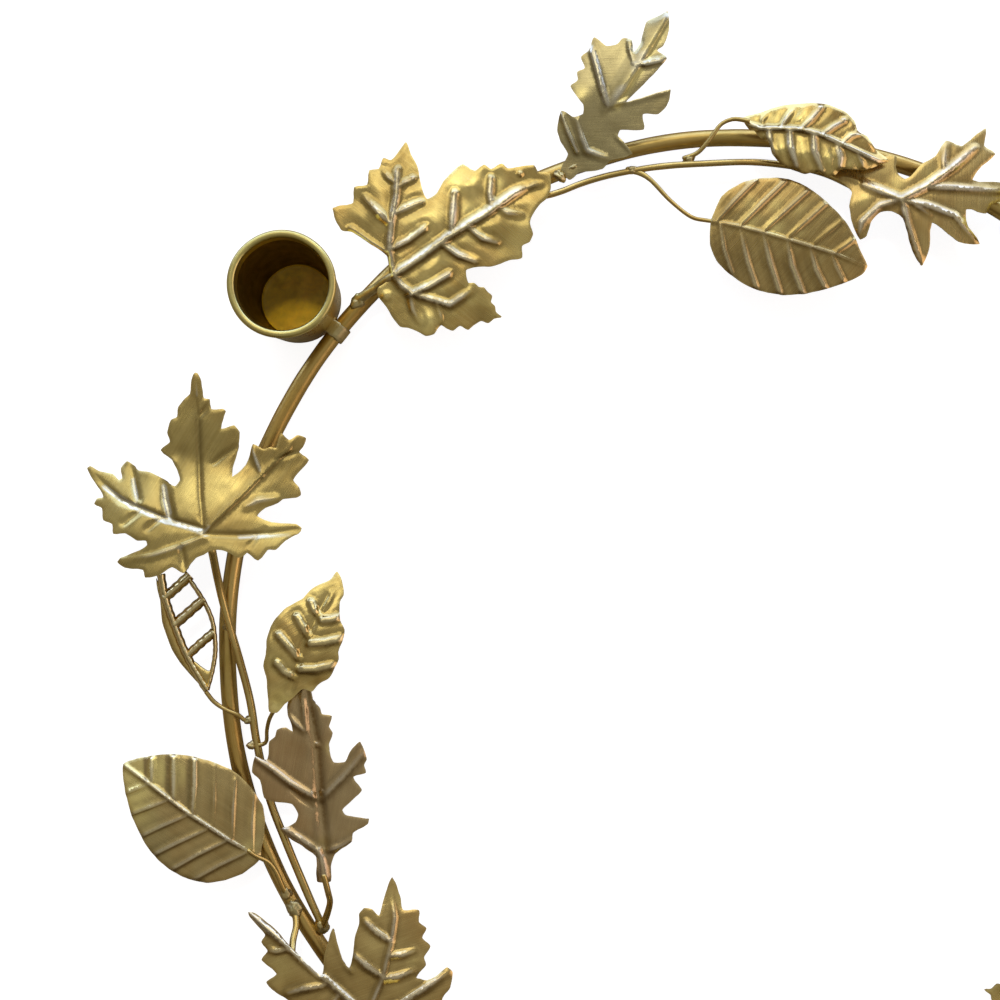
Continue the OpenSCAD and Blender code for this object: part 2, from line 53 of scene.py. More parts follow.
# --------------------------------------------------------------- the drawing
# The foliage is laid out on the overhead drawing of the CAD part. Here its
# coordinates are tenths of a drawing unit: u to the right, v down.
VIEW_H, VIEW_F = 344.0, 1269.0
VIEW_X, VIEW_Y = -63.7, 40.2
HOOP_R, ROD_R, ROD_Z = 136.8, 2.2, 5.0
CUP_R, CUP_ANGLE = 151.0, 141.5


def spot(u, v, z):
    u, v, z = np.asarray(u, float), np.asarray(v, float), np.asarray(z, float)
    k = (VIEW_H - z) / VIEW_F
    return np.stack([VIEW_X + (u - 500) * k, VIEW_Y - (v - 500) * k, z + 0 * u], -1)


def smooth(a, b, x):
    t = np.clip((x - a) / (b - a), 0, 1)
    return t * t * (3 - 2 * t)


def ripple(p, scale, seed=0.0):
    """Smooth noise, about -1 to 1, at the rows of p (mm)."""
    q = np.asarray(p, float) / scale + np.array([seed, -1.7 * seed, 0.6 * seed])
    i = np.floor(q).astype(np.int64)
    f = q - i
    f = f * f * f * (f * (f * 6 - 15) + 10)
    out = np.zeros(len(q))
    for dx in (0, 1):
        for dy in (0, 1):
            for dz in (0, 1):
                h = ((i[:, 0] + dx) * 73856093) ^ ((i[:, 1] + dy) * 19349663) ^ ((i[:, 2] + dz) * 83492791)
                h = (h ^ (h >> 13)) * 1274126177 & 0x7FFFFFFF
                h = (h ^ (h >> 16)) & 0xFFFF
                w = (f[:, 0] if dx else 1 - f[:, 0]) * (f[:, 1] if dy else 1 - f[:, 1]) \
                    * (f[:, 2] if dz else 1 - f[:, 2])
                out += w * (h / 32767.5 - 1)
    return out


# ------------------------------------------------------------------ materials
def node(nt, kind, x=0, y=0, **sets):
    n = nt.nodes.new(kind)
    n.location = (x, y)
    for k, v in sets.items():
        setattr(n, k, v)
    return n


def math_node(nt, op, a, b=None, clamp=False):
    n = node(nt, "ShaderNodeMath", operation=op, use_clamp=clamp)
    for i, s in enumerate((a, b)):
        if s is None:
            continue
        if isinstance(s, (int, float)):
            n.inputs[i].default_value = s
        else:
            nt.links.new(s, n.inputs[i])
    return n.outputs[0]


def mix_colour(nt, f, a, b, how="MIX"):
    n = node(nt, "ShaderNodeMix", data_type="RGBA", blend_type=how)
    n.clamp_factor = True
    for i, s in ((0, f), (6, a), (7, b)):
        if isinstance(s, (int, float)):
            n.inputs[i].default_value = s
        elif isinstance(s, tuple):
            n.inputs[i].default_value = (*s, 1)
        else:
            nt.links.new(s, n.inputs[i])
    return n.outputs[2]


def map_range(nt, v, a, b, c, d):
    n = node(nt, "ShaderNodeMapRange")
    nt.links.new(v, n.inputs[0])
    for i, x in enumerate((a, b, c, d)):
        n.inputs[i + 1].default_value = x
    return n.outputs[0]


def lacquer(name, base, deep, pale, rough=0.3, brush=0.5, grain=0.35, patch=0.5, wear=0.6,
            coat=0.15, mottled=10.0, metal=1.0, bare=None, rubbed=0.8):
    """Gold lacquer on brushed sheet or rod. base is the body colour. deep is the
    patina colour of the clouds and specks, and also the painted shade in creases,
    at rib feet and in the shade dabs. pale shows along worn edges, and along
    crests as partly wear and partly painted highlight; the rubbed-through silvery
    colour, when given, is worn metal on the ribs and also a painted highlight. The
    brush lines follow the piece's own grain attribute, in mm along and across."""
    m = bpy.data.materials.new(name)
    m.use_nodes = True
    nt = m.node_tree
    nt.nodes.clear()
    out = node(nt, "ShaderNodeOutputMaterial", 900, 0)
    bsdf = node(nt, "ShaderNodeBsdfPrincipled", 600, 0)
    nt.links.new(bsdf.outputs[0], out.inputs[0])
    bsdf.inputs["Metallic"].default_value = metal
    bsdf.inputs["Coat Weight"].default_value = coat
    bsdf.inputs["Coat Roughness"].default_value = 0.22
    bsdf.inputs["IOR"].default_value = 1.5
    bsdf.inputs["Specular Tint"].default_value = (1.0, 0.93, 0.78, 1)
    g = node(nt, "ShaderNodeAttribute", attribute_name="grain")
    e = node(nt, "ShaderNodeAttribute", attribute_name="edge")
    c = node(nt, "ShaderNodeAttribute", attribute_name="crest")
    tc = node(nt, "ShaderNodeTexCoord")

    def tex(vec, sx, sy, sz, scale, detail, rough_, dist=0.0):
        mp = node(nt, "ShaderNodeMapping")
        mp.inputs["Scale"].default_value = (sx, sy, sz)
        nt.links.new(vec, mp.inputs[0])
        t = node(nt, "ShaderNodeTexNoise")
        t.inputs["Scale"].default_value = scale
        t.inputs["Detail"].default_value = detail
        t.inputs["Roughness"].default_value = rough_
        t.inputs["Distortion"].default_value = dist
        nt.links.new(mp.outputs[0], t.inputs["Vector"])
        return t.outputs["Fac"]

    lines = tex(g.outputs["Vector"], 0.03, 1.0, 0.2, 1.7, 3.0, 0.62)
    hair = tex(g.outputs["Vector"], 0.10, 4.4, 0.5, 1.0, 2.0, 0.5)
    cloud = tex(tc.outputs["Object"], 1000 / mottled, 1000 / mottled, 1000 / mottled, 1.0, 4.0, 0.6, 0.4)
    speck = tex(tc.outputs["Object"], 1000, 1000, 1000, 2.1, 3.0, 0.65)
    # colour: clouds of patina, brush lines, worn rims, crests pale (wear and painted highlight), painted sheen and
    # shade, painted shade in creases and at rib feet
    f1 = map_range(nt, cloud, 0.36, 0.66, 0.0, 1.0)
    col = mix_colour(nt, math_node(nt, "MULTIPLY", f1, patch), base, deep)
    stain = tex(tc.outputs["Object"], 420 / mottled, 420 / mottled, 420 / mottled, 1.0, 2.0, 0.5, 0.8)
    f0 = map_range(nt, stain, 0.46, 0.64, 0.0, 0.75)
    col = mix_colour(nt, f0, col, (1.04, 0.91, 0.80), "MULTIPLY")
    # painted sheen and painted shade: where the painted-light attribute is positive the colour turns toward bright
    # gold, a painted highlight
    lu = node(nt, "ShaderNodeAttribute", attribute_name="lustre")
    thin = math_node(nt, "MULTIPLY", lu.outputs["Fac"], map_range(nt, cloud, 0.30, 0.70, 1.15, 0.75), clamp=True)
    col = mix_colour(nt, thin, col, (0.98, 0.79, 0.255))
    if bare:
        # the ribs are rubbed through to pale silvery metal, which also paints a highlight along them
        rub = math_node(nt, "MULTIPLY", map_range(nt, c.outputs["Fac"], 0.28, 0.66, 0.0, rubbed),
                        map_range(nt, cloud, 0.33, 0.60, 0.55, 1.0), clamp=True)
        col = mix_colour(nt, rub, col, bare)
    # painted shade: where that attribute is negative the colour darkens toward a deeper brown
    thick = math_node(nt, "MULTIPLY", lu.outputs["Fac"], map_range(nt, cloud, 0.30, 0.70, -0.6, -1.1), clamp=True)
    col = mix_colour(nt, thick, col, tuple(k * 0.66 for k in deep))
    f2 = map_range(nt, lines, 0.42, 0.66, 0.0, 1.0)
    col = mix_colour(nt, math_node(nt, "MULTIPLY", f2, 0.30 * brush), col, pale)
    f3 = map_range(nt, speck, 0.60, 0.72, 0.0, 1.0)
    col = mix_colour(nt, math_node(nt, "MULTIPLY", f3, 0.22), col, deep)
    # pale along worn rims, which is wear, and along crests, which is partly wear and partly a painted highlight
    worn = math_node(nt, "MULTIPLY", map_range(nt, e.outputs["Fac"], 0.0, 0.55, 1.0, 0.0),
                     map_range(nt, speck, 0.38, 0.58, 0.25, 1.0))
    crest = math_node(nt, "MULTIPLY", map_range(nt, c.outputs["Fac"], 0.55, 1.0, 0.0, 1.0),
                      map_range(nt, cloud, 0.35, 0.6, 0.3, 1.0))
    f4 = math_node(nt, "MULTIPLY", math_node(nt, "MAXIMUM", worn, crest), wear, clamp=True)
    col = mix_colour(nt, f4, col, pale)
    # painted shade in the creases and on undersides, where crest is negative
    f5 = map_range(nt, c.outputs["Fac"], -1.0, -0.15, 0.55, 0.0)
    col = mix_colour(nt, f5, col, deep)
    # painted shade along the foot of each rib
    ft = node(nt, "ShaderNodeAttribute", attribute_name="foot")
    f6 = math_node(nt, "MULTIPLY", ft.outputs["Fac"], map_range(nt, cloud, 0.35, 0.65, 0.30, 0.74), clamp=True)
    col = mix_colour(nt, f6, col, tuple(k * 0.55 for k in deep))
    nt.links.new(col, bsdf.inputs["Base Color"])
    # roughness
    r = math_node(nt, "ADD", map_range(nt, cloud, 0.3, 0.7, rough - 0.06, rough + 0.08),
                  map_range(nt, hair, 0.35, 0.65, -0.05 * brush, 0.07 * brush))
    r = math_node(nt, "ADD", r, math_node(nt, "MULTIPLY", f4, -0.06), clamp=True)
    nt.links.new(r, bsdf.inputs["Roughness"])
    # relief: brush lines, fine hairs and the paint's own grain
    h = math_node(nt, "ADD", math_node(nt, "MULTIPLY", lines, 1.0 * brush),
                  math_node(nt, "MULTIPLY", hair, 0.35 * brush))
    h = math_node(nt, "ADD", h, math_node(nt, "MULTIPLY", speck, 0.5 * grain))
    bump = node(nt, "ShaderNodeBump")
    # crests are burnished smooth by the press
    nt.links.new(map_range(nt, math_node(nt, "ABSOLUTE", c.outputs["Fac"]), 0.05, 0.35, 0.55, 0.16),
                 bump.inputs["Strength"])
    bump.inputs["Distance"].default_value = 0.00008
    nt.links.new(h, bump.inputs["Height"])
    nt.links.new(bump.outputs[0], bsdf.inputs["Normal"])
    return m


# The leaf golds below are copies of one lacquer, each set lighter or darker to match how brightly its leaf is lit:
# painted light and shade, leaf by leaf.
M_BRIGHT = lacquer("gold_bright", (0.64, 0.475, 0.142), (0.46, 0.31, 0.075), (0.84, 0.69, 0.27),
                   rough=0.23, brush=0.45, patch=0.85, coat=0.25, wear=0.4, mottled=8,
                  bare=(0.80, 0.77, 0.60), rubbed=0.70)
M_YELLOW = lacquer("gold_yellow", (0.64, 0.475, 0.142), (0.44, 0.30, 0.072), (0.84, 0.69, 0.27),
                   rough=0.23, brush=0.45, patch=0.85, coat=0.25, wear=0.4, mottled=8,
                   bare=(0.82, 0.74, 0.44), rubbed=0.45)
M_GREY = lacquer("gold_grey", (0.475, 0.385, 0.162), (0.38, 0.30, 0.115), (0.80, 0.66, 0.29),
                 rough=0.24, brush=0.42, patch=0.8, coat=0.3, wear=0.4, mottled=12,
                  bare=(0.78, 0.76, 0.64), rubbed=0.60)
M_DULL = lacquer("gold_dull", (0.57, 0.44, 0.168), (0.45, 0.33, 0.11), (0.78, 0.63, 0.25),
                 rough=0.26, brush=0.45, patch=0.8, coat=0.25, wear=0.4, mottled=12,
                  bare=(0.80, 0.74, 0.54), rubbed=0.62)
M_MAPLE = lacquer("gold_maple", (0.515, 0.38, 0.110), (0.405, 0.29, 0.078), (0.80, 0.63, 0.23),
                  rough=0.26, brush=0.5, patch=0.8, coat=0.2, wear=0.4, mottled=12,
                  bare=(0.76, 0.76, 0.62), rubbed=0.85)
M_OVAL = lacquer("gold_oval", (0.475, 0.332, 0.103), (0.35, 0.228, 0.062), (0.82, 0.66, 0.25),
                 rough=0.25, brush=0.55, patch=0.9, coat=0.2, wear=0.6, mottled=12,
                  bare=(0.78, 0.72, 0.48), rubbed=0.50)
M_WARM = lacquer("gold_warm", (0.59, 0.415, 0.132), (0.43, 0.28, 0.078), (0.81, 0.64, 0.23),
                 rough=0.26, brush=0.6, patch=0.8, coat=0.25, wear=0.4, mottled=12,
                  bare=(0.80, 0.76, 0.60), rubbed=0.66)
M_BROWN = lacquer("gold_brown", (0.54, 0.385, 0.168), (0.43, 0.295, 0.12), (0.79, 0.62, 0.25),
                  rough=0.27, brush=0.45, patch=0.8, coat=0.3, wear=0.45, mottled=12,
                  bare=(0.80, 0.75, 0.57), rubbed=0.52)
M_ROD = lacquer("rod_bronze", (0.58, 0.405, 0.118), (0.41, 0.275, 0.058), (0.78, 0.62, 0.20),
                rough=0.34, brush=0.5, patch=0.7, mottled=14, coat=0.0)
M_WIRE = lacquer("wire_bronze", (0.61, 0.445, 0.14), (0.42, 0.29, 0.075), (0.84, 0.70, 0.30),
                 rough=0.27, brush=0.15, grain=0.2, patch=0.6, mottled=7, coat=0.0)
M_CUP = lacquer("cup_gold", (0.62, 0.53, 0.17), (0.49, 0.39, 0.10), (0.84, 0.76, 0.38),
                rough=0.30, brush=0.30, grain=0.5, patch=0.5, wear=0.5, coat=0.14)
# the cup's inside wall is a much darker copy of the cup gold: painted shade inside the cup
M_CUP_IN = lacquer("cup_inside_painted_shade", (0.185, 0.118, 0.020), (0.11, 0.068, 0.008), (0.50, 0.34, 0.07),
                   rough=0.42, brush=0.15, grain=0.9, patch=0.9, wear=0.2, mottled=4, coat=0.0)
M_CUP_FLOOR = lacquer("cup_floor", (0.86, 0.53, 0.012), (0.56, 0.32, 0.007), (0.95, 0.64, 0.07),
                      rough=0.50, brush=0.10, grain=1.0, patch=0.8, wear=0.2, mottled=3, coat=0.0, metal=0.0)
M_BRAZE = lacquer("braze_grey", (0.57, 0.48, 0.20), (0.36, 0.27, 0.10), (0.80, 0.71, 0.42),
                  rough=0.38, brush=0.2, grain=0.9, patch=0.8, mottled=2.5)


# -------------------------------------------------------------------- meshes
def make(name, verts, faces, mats, attrs=None, sharp=None, flat=False, slots=None):
    """A mesh object from points in mm."""
    me = bpy.data.meshes.new(name)
    me.from_pydata((np.asarray(verts) / 1000).tolist(), [], [list(f) for f in faces])
    me.validate()
    me.update()
    for key, val in (attrs or {}).items():
        val = np.asarray(val, float)
        if val.ndim == 2:
            a = me.attributes.new(key, "FLOAT_VECTOR", "POINT")
            a.data.foreach_set("vector", val.astype(np.float32).ravel())
        else:
            a = me.attributes.new(key, "FLOAT", "POINT")
            a.data.foreach_set("value", val.astype(np.float32))
    if not flat:
        me.shade_smooth()
    if sharp:
        ev = np.zeros(len(me.edges) * 2, np.int64)
        me.edges.foreach_get("vertices", ev)
        ev = np.sort(ev.reshape(-1, 2), 1)
        sp = np.sort(np.array(sharp, np.int64), 1)
        big = len(verts) + 1
        at = me.attributes.new("sharp_edge", "BOOLEAN", "EDGE")
        at.data.foreach_set("value", np.isin(ev[:, 0] * big + ev[:, 1], sp[:, 0] * big + sp[:, 1]))
    for m in mats:
        me.materials.append(m)
    if slots is not None:
        me.polygons.foreach_set("material_index", slots)
    ob = bpy.data.objects.new(name, me)
    bpy.context.scene.collection.objects.link(ob)
    return ob


def turn(verts, n):
    """The far half of the ring is the near half turned by 180 degrees."""
    v = np.array(verts, float)
    if n == 2:
        v[:, 0] *= -1
        v[:, 1] *= -1
    return v


# --------------------------------------------------------------------- leaves
def resample(pts, step, closed=False):
    pts = np.asarray(pts, float)
    if closed:
        pts = np.vstack([pts, pts[:1]])
    out = []
    for a, b in zip(pts[:-1], pts[1:]):
        n = max(1, int(math.ceil(np.linalg.norm(b[:2] - a[:2]) / step)))
        for i in range(n):
            out.append(a + (b - a) * i / n)
    if not closed:
        out.append(pts[-1])
    return np.array(out)


def curve_through(pts, steps=6):
    pts = np.asarray(pts, float)
    n = len(pts)
    out = []
    for i in range(n - 1):
        a, b, c, d = pts[max(i - 1, 0)], pts[i], pts[i + 1], pts[min(i + 2, n - 1)]
        for s in range(steps):
            t = s / steps
            out.append(0.5 * (2 * b + (c - a) * t + (2 * a - 5 * b + 4 * c - d) * t * t
                              + (3 * b - a - 3 * c + d) * t ** 3))
    out.append(pts[-1])
    return np.array(out)


def soften_outline(rim, cut=1.3, bow=0.55):
    """Bows the edge a little between its corners and rounds each corner, as
    a stamped sheet is."""
    rim = np.asarray(rim, float)
    n = len(rim)
    bent = []
    for i in range(n):
        a, b, c, d = rim[i - 1], rim[i], rim[(i + 1) % n], rim[(i + 2) % n]
        bent.append(b)
        lb = np.linalg.norm(c - b)
        if lb > 5:
            # a chord leaves each corner along the mean of its two edges
            tb = (c - a) / (np.linalg.norm(c - a) + 1e-9)
            tc = (d - b) / (np.linalg.norm(d - b) + 1e-9)
            for t in (1 / 3, 2 / 3):
                h = (2 * t ** 3 - 3 * t ** 2 + 1) * b + (t ** 3 - 2 * t ** 2 + t) * lb * tb \
                    + (-2 * t ** 3 + 3 * t ** 2) * c + (t ** 3 - t ** 2) * lb * tc
                line = b + (c - b) * t
                off = h - line
                k = min(1.0, 0.09 * lb / (np.linalg.norm(off) + 1e-9))
                bent.append(line + off * bow * k)
    rim = np.array(bent)
    n = len(rim)
    out = []
    for i in range(n):
        p, a, b = rim[i], rim[i - 1], rim[(i + 1) % n]
        la, lb = np.linalg.norm(a - p), np.linalg.norm(b - p)
        ca, cb = min(cut, 0.3 * la), min(cut, 0.3 * lb)
        q1, q2 = p + (a - p) / la * ca, p + (b - p) / lb * cb
        out += [q1, 0.25 * q1 + 0.5 * p + 0.25 * q2, q2]
    return np.array(out)


def inside(poly, pts):
    poly = np.asarray(poly, float)
    x1, y1 = poly[:, 0], poly[:, 1]
    x2, y2 = np.roll(x1, -1), np.roll(y1, -1)
    dy = np.where(y2 == y1, 1e-12, y2 - y1)
    res = np.zeros(len(pts), bool)
    for i in range(0, len(pts), 4000):
        x, y = pts[i:i + 4000, 0][:, None], pts[i:i + 4000, 1][:, None]
        hit = ((y1 > y) != (y2 > y)) & (x < (x2 - x1) * (y - y1) / dy + x1)
        res[i:i + 4000] = hit.sum(1) % 2 == 1
    return res


def along(pts, line, closed=False, reach=None):
    """Distance to the line, side (+ right of its direction), place along it
    and the interpolated third column. Beyond reach the distance is large."""
    line = np.asarray(line, float)
    if closed:
        line = np.vstack([line, line[:1]])
    n = len(pts)
    dist = np.full(n, 1e9)
    side = np.zeros(n)
    place = np.zeros(n)
    val = np.ones(n)
    a, b = line[:-1], line[1:]
    d = b[:, :2] - a[:, :2]
    L = np.maximum(np.hypot(d[:, 0], d[:, 1]), 1e-9)
    s0 = np.r_[0, np.cumsum(L)[:-1]]
    which = np.arange(n)
    if reach is not None:
        lo, hi = line[:, :2].min(0) - reach, line[:, :2].max(0) + reach
        which = which[((pts >= lo) & (pts <= hi)).all(1)]
    step = max(1, int(400000 / len(L)))
    for i in range(0, len(which), step):
        k = which[i:i + step]
        qx = pts[k, 0][:, None] - a[:, 0]
        qy = pts[k, 1][:, None] - a[:, 1]
        t = np.clip((qx * d[:, 0] + qy * d[:, 1]) / L ** 2, 0, 1)
        dd = np.hypot(qx - t * d[:, 0], qy - t * d[:, 1])
        j = dd.argmin(1)
        r = np.arange(len(k))
        dist[k] = dd[r, j]
        side[k] = np.sign(d[j, 0] * qy[r, j] - d[j, 1] * qx[r, j])
        place[k] = s0[j] + t[r, j] * L[j]
        if line.shape[1] > 2:
            val[k] = a[j, 2] + t[r, j] * (b[j, 2] - a[j, 2])
    return dist, side, place, val, L.sum()


class Map:
    """Signed distance to an outline (positive inside, up to reach) on a fine
    grid of the drawing, with a reader for any such grid."""
    def __init__(self, rim, g=0.8, reach=14.0):
        self.g, self.lo = g, rim.min(0) - 6
        self.nx, self.ny = (int(k) for k in np.ceil((rim.max(0) + 6 - self.lo) / g) + 1)
        x0 = self.lo[0] + g * np.arange(self.nx)
        y0 = self.lo[1] + g * np.arange(self.ny)
        self.points = np.stack(np.meshgrid(x0, y0), -1).reshape(-1, 2)
        nxt = np.roll(rim, -1, 0)
        out = np.full((self.ny, self.nx), reach)
        for a, b in zip(rim, nxt):
            d = b - a
            m = max(d @ d, 1e-9)
            i0, i1 = np.searchsorted(x0, (min(a[0], b[0]) - reach, max(a[0], b[0]) + reach))
            j0, j1 = np.searchsorted(y0, (min(a[1], b[1]) - reach, max(a[1], b[1]) + reach))
            x, y = x0[i0:i1][None] - a[0], y0[j0:j1][:, None] - a[1]
            t = np.clip((x * d[0] + y * d[1]) / m, 0, 1)
            k = np.hypot(x - t * d[0], y - t * d[1])
            out[j0:j1, i0:i1] = np.minimum(out[j0:j1, i0:i1], k)
        for j, y in enumerate(y0):
            hit = (rim[:, 1] > y) != (nxt[:, 1] > y)
            p, q = rim[hit], nxt[hit]
            xs = np.sort(p[:, 0] + (y - p[:, 1]) / (q[:, 1] - p[:, 1]) * (q[:, 0] - p[:, 0]))
            out[j] *= np.where(np.searchsorted(xs, x0) % 2 == 1, 1, -1)
        self.edge = out

    def read(self, f, p):
        x = np.clip((p[:, 0] - self.lo[0]) / self.g, 0, self.nx - 1.001)
        y = np.clip((p[:, 1] - self.lo[1]) / self.g, 0, self.ny - 1.001)
        i, j = x.astype(int), y.astype(int)
        a, b = x - i, y - j
        return f[j, i] * (1 - a) * (1 - b) + f[j, i + 1] * a * (1 - b) + f[j + 1, i] * (1 - a) * b \
            + f[j + 1, i + 1] * a * b


def hump(t, kind):
    t = np.clip(np.abs(t), 0, 1)
    if kind == "tent":
        e = 0.10
        return 1 - (np.sqrt(t * t + e * e) - e) / (math.sqrt(1 + e * e) - e)
    if kind == "flat":
        return 1 - smooth(0.35, 1.0, t)
    return (1 - t * t) ** 2


def full(rib):
    """A rib is (height, left width, right width, points, kind). A point's
    third number scales the height there."""
    h, wl, wr, pts = rib[:4]
    kind = rib[4] if len(rib) > 4 else "tent"
    pts = [(*p, 1.0) if len(p) == 2 else p for p in pts]
    return h, wl, wr, np.array(pts, float), kind


class Leaf:
    def __init__(self, name, form, rim, ribs, balls=(), lifts=(), hinges=(), grain=0.0,
                 mat=None, slot="leaf_dull", step=2.0, thick=0.6, roll=0.16, noise_h=0.20, cut=1.3,
                 blur=0.6, pillow=0.2, lee=0.0, dark_creases=True, rubs=(), lustre=()):
        self.__dict__.update(locals())

    def height(self, pts):
        u0, v0, z0, gu, gv, dr = self.form
        u, v = pts[:, 0] / 10, pts[:, 1] / 10
        z = z0 + gu * (u - u0) + gv * (v - v0) - dr * ((u - u0) ** 2 + (v - v0) ** 2)
        for x, y, r, h in self.lifts:
            z = z + h * np.exp(-((pts[:, 0] - x) ** 2 + (pts[:, 1] - y) ** 2) / r ** 2)
        for x1, y1, x2, y2, slope, soft in self.hinges:
            L = math.hypot(x2 - x1, y2 - y1)
            d = ((x2 - x1) * (pts[:, 1] - y1) - (y2 - y1) * (pts[:, 0] - x1)) / L / 10
            z = z + slope * (d + np.sqrt(d * d + (soft / 10) ** 2)) / 2
        up = np.zeros(len(pts))
        down = np.zeros(len(pts))
        foot = np.zeros(len(pts))
        near = np.full(len(pts), 30.0)
        for rib in self.ribs:
            h, wl, wr, line, kind = full(rib)
            d, side, place, val, total = along(pts, line, reach=20)
            near = np.minimum(near, d)
            w = np.where(side < 0, wl, wr)
            if kind == "pinch":
                # a crease: hollow on its wide side, straight on the other
                t = np.clip(d / w, 0, 1)
                a = np.where(w >= max(wl, wr), (1 - t) ** 3, 1 - t) * h * val
            else:
                a = hump(d / w, kind) * h * val
            w = np.minimum(w, 7)
            # mask of the painted shade along the foot of each rib
            foot = np.maximum(foot, np.exp(-((d - w) / 2.6) ** 2) * val * min(1, abs(h)))
            if h > 0:
                up = np.maximum(up, a)
            else:
                down = np.minimum(down, a)
        for x, y, r, h in self.balls:
            d = np.hypot(pts[:, 0] - x, pts[:, 1] - y)
            a = h * np.sqrt(np.clip(1 - (d / r) ** 2, 0, 1))
            if h > 0:
                up = np.maximum(up, a)
            else:
                down = np.minimum(down, a)
        # the sheet bulges a little between its veins
        z = z + self.pillow * (1 - np.exp(-(near / 10.0) ** 2))
        return z, up, down, foot

    def dabs(self, pts, marks):
        """Soft round dabs (x, y, radius, amount) and strokes (x, y, x, y,
        radius, amount), summed."""
        out = np.zeros(len(pts))
        for mark in marks:
            r, a = mark[-2:]
            if len(mark) == 4:
                d = np.hypot(pts[:, 0] - mark[0], pts[:, 1] - mark[1])
            else:
                d = along(pts, [mark[:2], mark[2:4]], reach=20)[0]
            out = out + a * np.exp(-(d / r) ** 2)
        return out

    def shade(self, pts):
        """How far a point lies on the side of a rib that faces down and to the right, away from the light: the mask of
        the painted shade on those flanks."""
        out = np.zeros(len(pts))
        for rib in self.ribs:
            h, wl, wr, line, kind = full(rib)
            if kind == "pinch" or h < 0:
                continue
            d, side, place, val, total = along(pts, line, reach=12)
            dx, dy = line[-1, 0] - line[0, 0], line[-1, 1] - line[0, 1]
            L = math.hypot(dx, dy)
            faces = np.clip(side * (-dy * 0.77 + dx * 0.64) / L, 0, 1) ** 3
            w = np.minimum(np.where(side < 0, wl, wr), 7)
            out = np.maximum(out, faces * val * np.exp(-((d - 0.6 * w) / (0.5 * w)) ** 2))
        return out

    def field(self, grid):
        """The pressed relief on the fine grid, softened as sheet is."""
        g, nx, ny = grid.g, grid.nx, grid.ny
        q = grid.points
        z, up, down, foot = self.height(q)
        edge = grid.edge.ravel()
        rolled = np.clip(1 - edge / 3.0, 0, 1.5) ** 2
        z = z + (up + down) * smooth(-2.0, 4.0, edge) - self.roll * rolled
        z = z + self.noise_h * ripple(np.c_[q, 0 * z], 38.0, 1.7 + self.rim[0][0] * 0.31)
        z = z + 0.07 * ripple(np.c_[q, 0 * z], 17.0, 2.9) + 0.02 * ripple(np.c_[q, 0 * z], 7.0, 4.7)
        out = []
        for f in (z, up, down, foot):
            f = f.reshape(ny, nx)
            w = np.exp(-0.5 * (np.arange(-4, 5) * g / self.blur) ** 2)
            w /= w.sum()
            f = np.pad(f, 4, mode="edge")
            f = sum(w[i] * f[:, i:i + nx] for i in range(9))
            f = sum(w[i] * f[i:i + ny] for i in range(9))
            out.append(f)
        return lambda p: [grid.read(f, p) for f in out]

    def build(self):
        rim = soften_outline(self.rim, self.cut)
        rim = resample(rim, self.step, True)
        wob = ripple(np.c_[rim, 0 * rim[:, 0]], 7.0, 3.1)
        nxt, prv = np.roll(rim, -1, 0), np.roll(rim, 1, 0)
        tang = nxt - prv
        nor = np.c_[tang[:, 1], -tang[:, 0]] / (np.linalg.norm(tang, axis=1)[:, None] + 1e-9)
        rim = rim + nor * wob[:, None] * 0.35
        fine = Map(rim)
        lo, hi = rim.min(0), rim.max(0)
        s = self.step
        gx, gy = np.meshgrid(np.arange(lo[0], hi[0], s), np.arange(lo[1], hi[1], s * 0.866))
        gx[1::2] += s / 2
        grid = np.c_[gx.ravel(), gy.ravel()]
        rng = np.random.RandomState(7)
        grid += rng.uniform(-0.18, 0.18, grid.shape) * s
        lines = []
        for rib in self.ribs:
            h, wl, wr, line, kind = full(rib)
            line = resample(line[:, :2], s * 0.8)
            t = np.gradient(line, axis=0)
            n = np.c_[-t[:, 1], t[:, 0]] / (np.linalg.norm(t, axis=1)[:, None] + 1e-9)
            for off in (-wl, -wl * 0.55, 0, wr * 0.55, wr):
                if abs(off) < s * 0.6 and off:
                    continue
                q = line + n * off
                keep = fine.read(fine.edge, q) > 0.35 * s
                run = []
                for ok, p in zip(keep, q):
                    if ok:
                        run.append(p)
                    elif len(run) > 1:
                        lines.append((np.array(run), off == 0))
                        run = []
                    else:
                        run = []
                if len(run) > 1:
                    lines.append((np.array(run), off == 0))
        near = np.zeros((fine.ny, fine.nx), bool)
        for q, _ in lines:
            i, j = np.round((q - fine.lo) / fine.g).astype(int).T
            for dx, dy in ((0, 0), (1, 0), (-1, 0), (0, 1), (0, -1), (1, 1), (1, -1), (-1, 1), (-1, -1)):
                near[j + dy, i + dx] = True
        i, j = np.round((grid - fine.lo) / fine.g).astype(int).T
        grid = grid[(fine.read(fine.edge, grid) > 0.55 * s) & ~near[j, i]]
        verts = [Vector(p) for p in rim]
        edges = []
        for q, main in lines:
            if main:
                base = len(verts)
                verts += [Vector(p) for p in q]
                edges += [(base + i, base + i + 1) for i in range(len(q) - 1)]
            else:
                verts += [Vector(p) for p in q]
        verts += [Vector(p) for p in grid]
        res = delaunay_2d_cdt(verts, edges, [list(range(len(rim)))], 1, 1e-4)
        pts = np.array([tuple(v) for v in res[0]])
        tris = np.array([tuple(f) for f in res[2]], int)
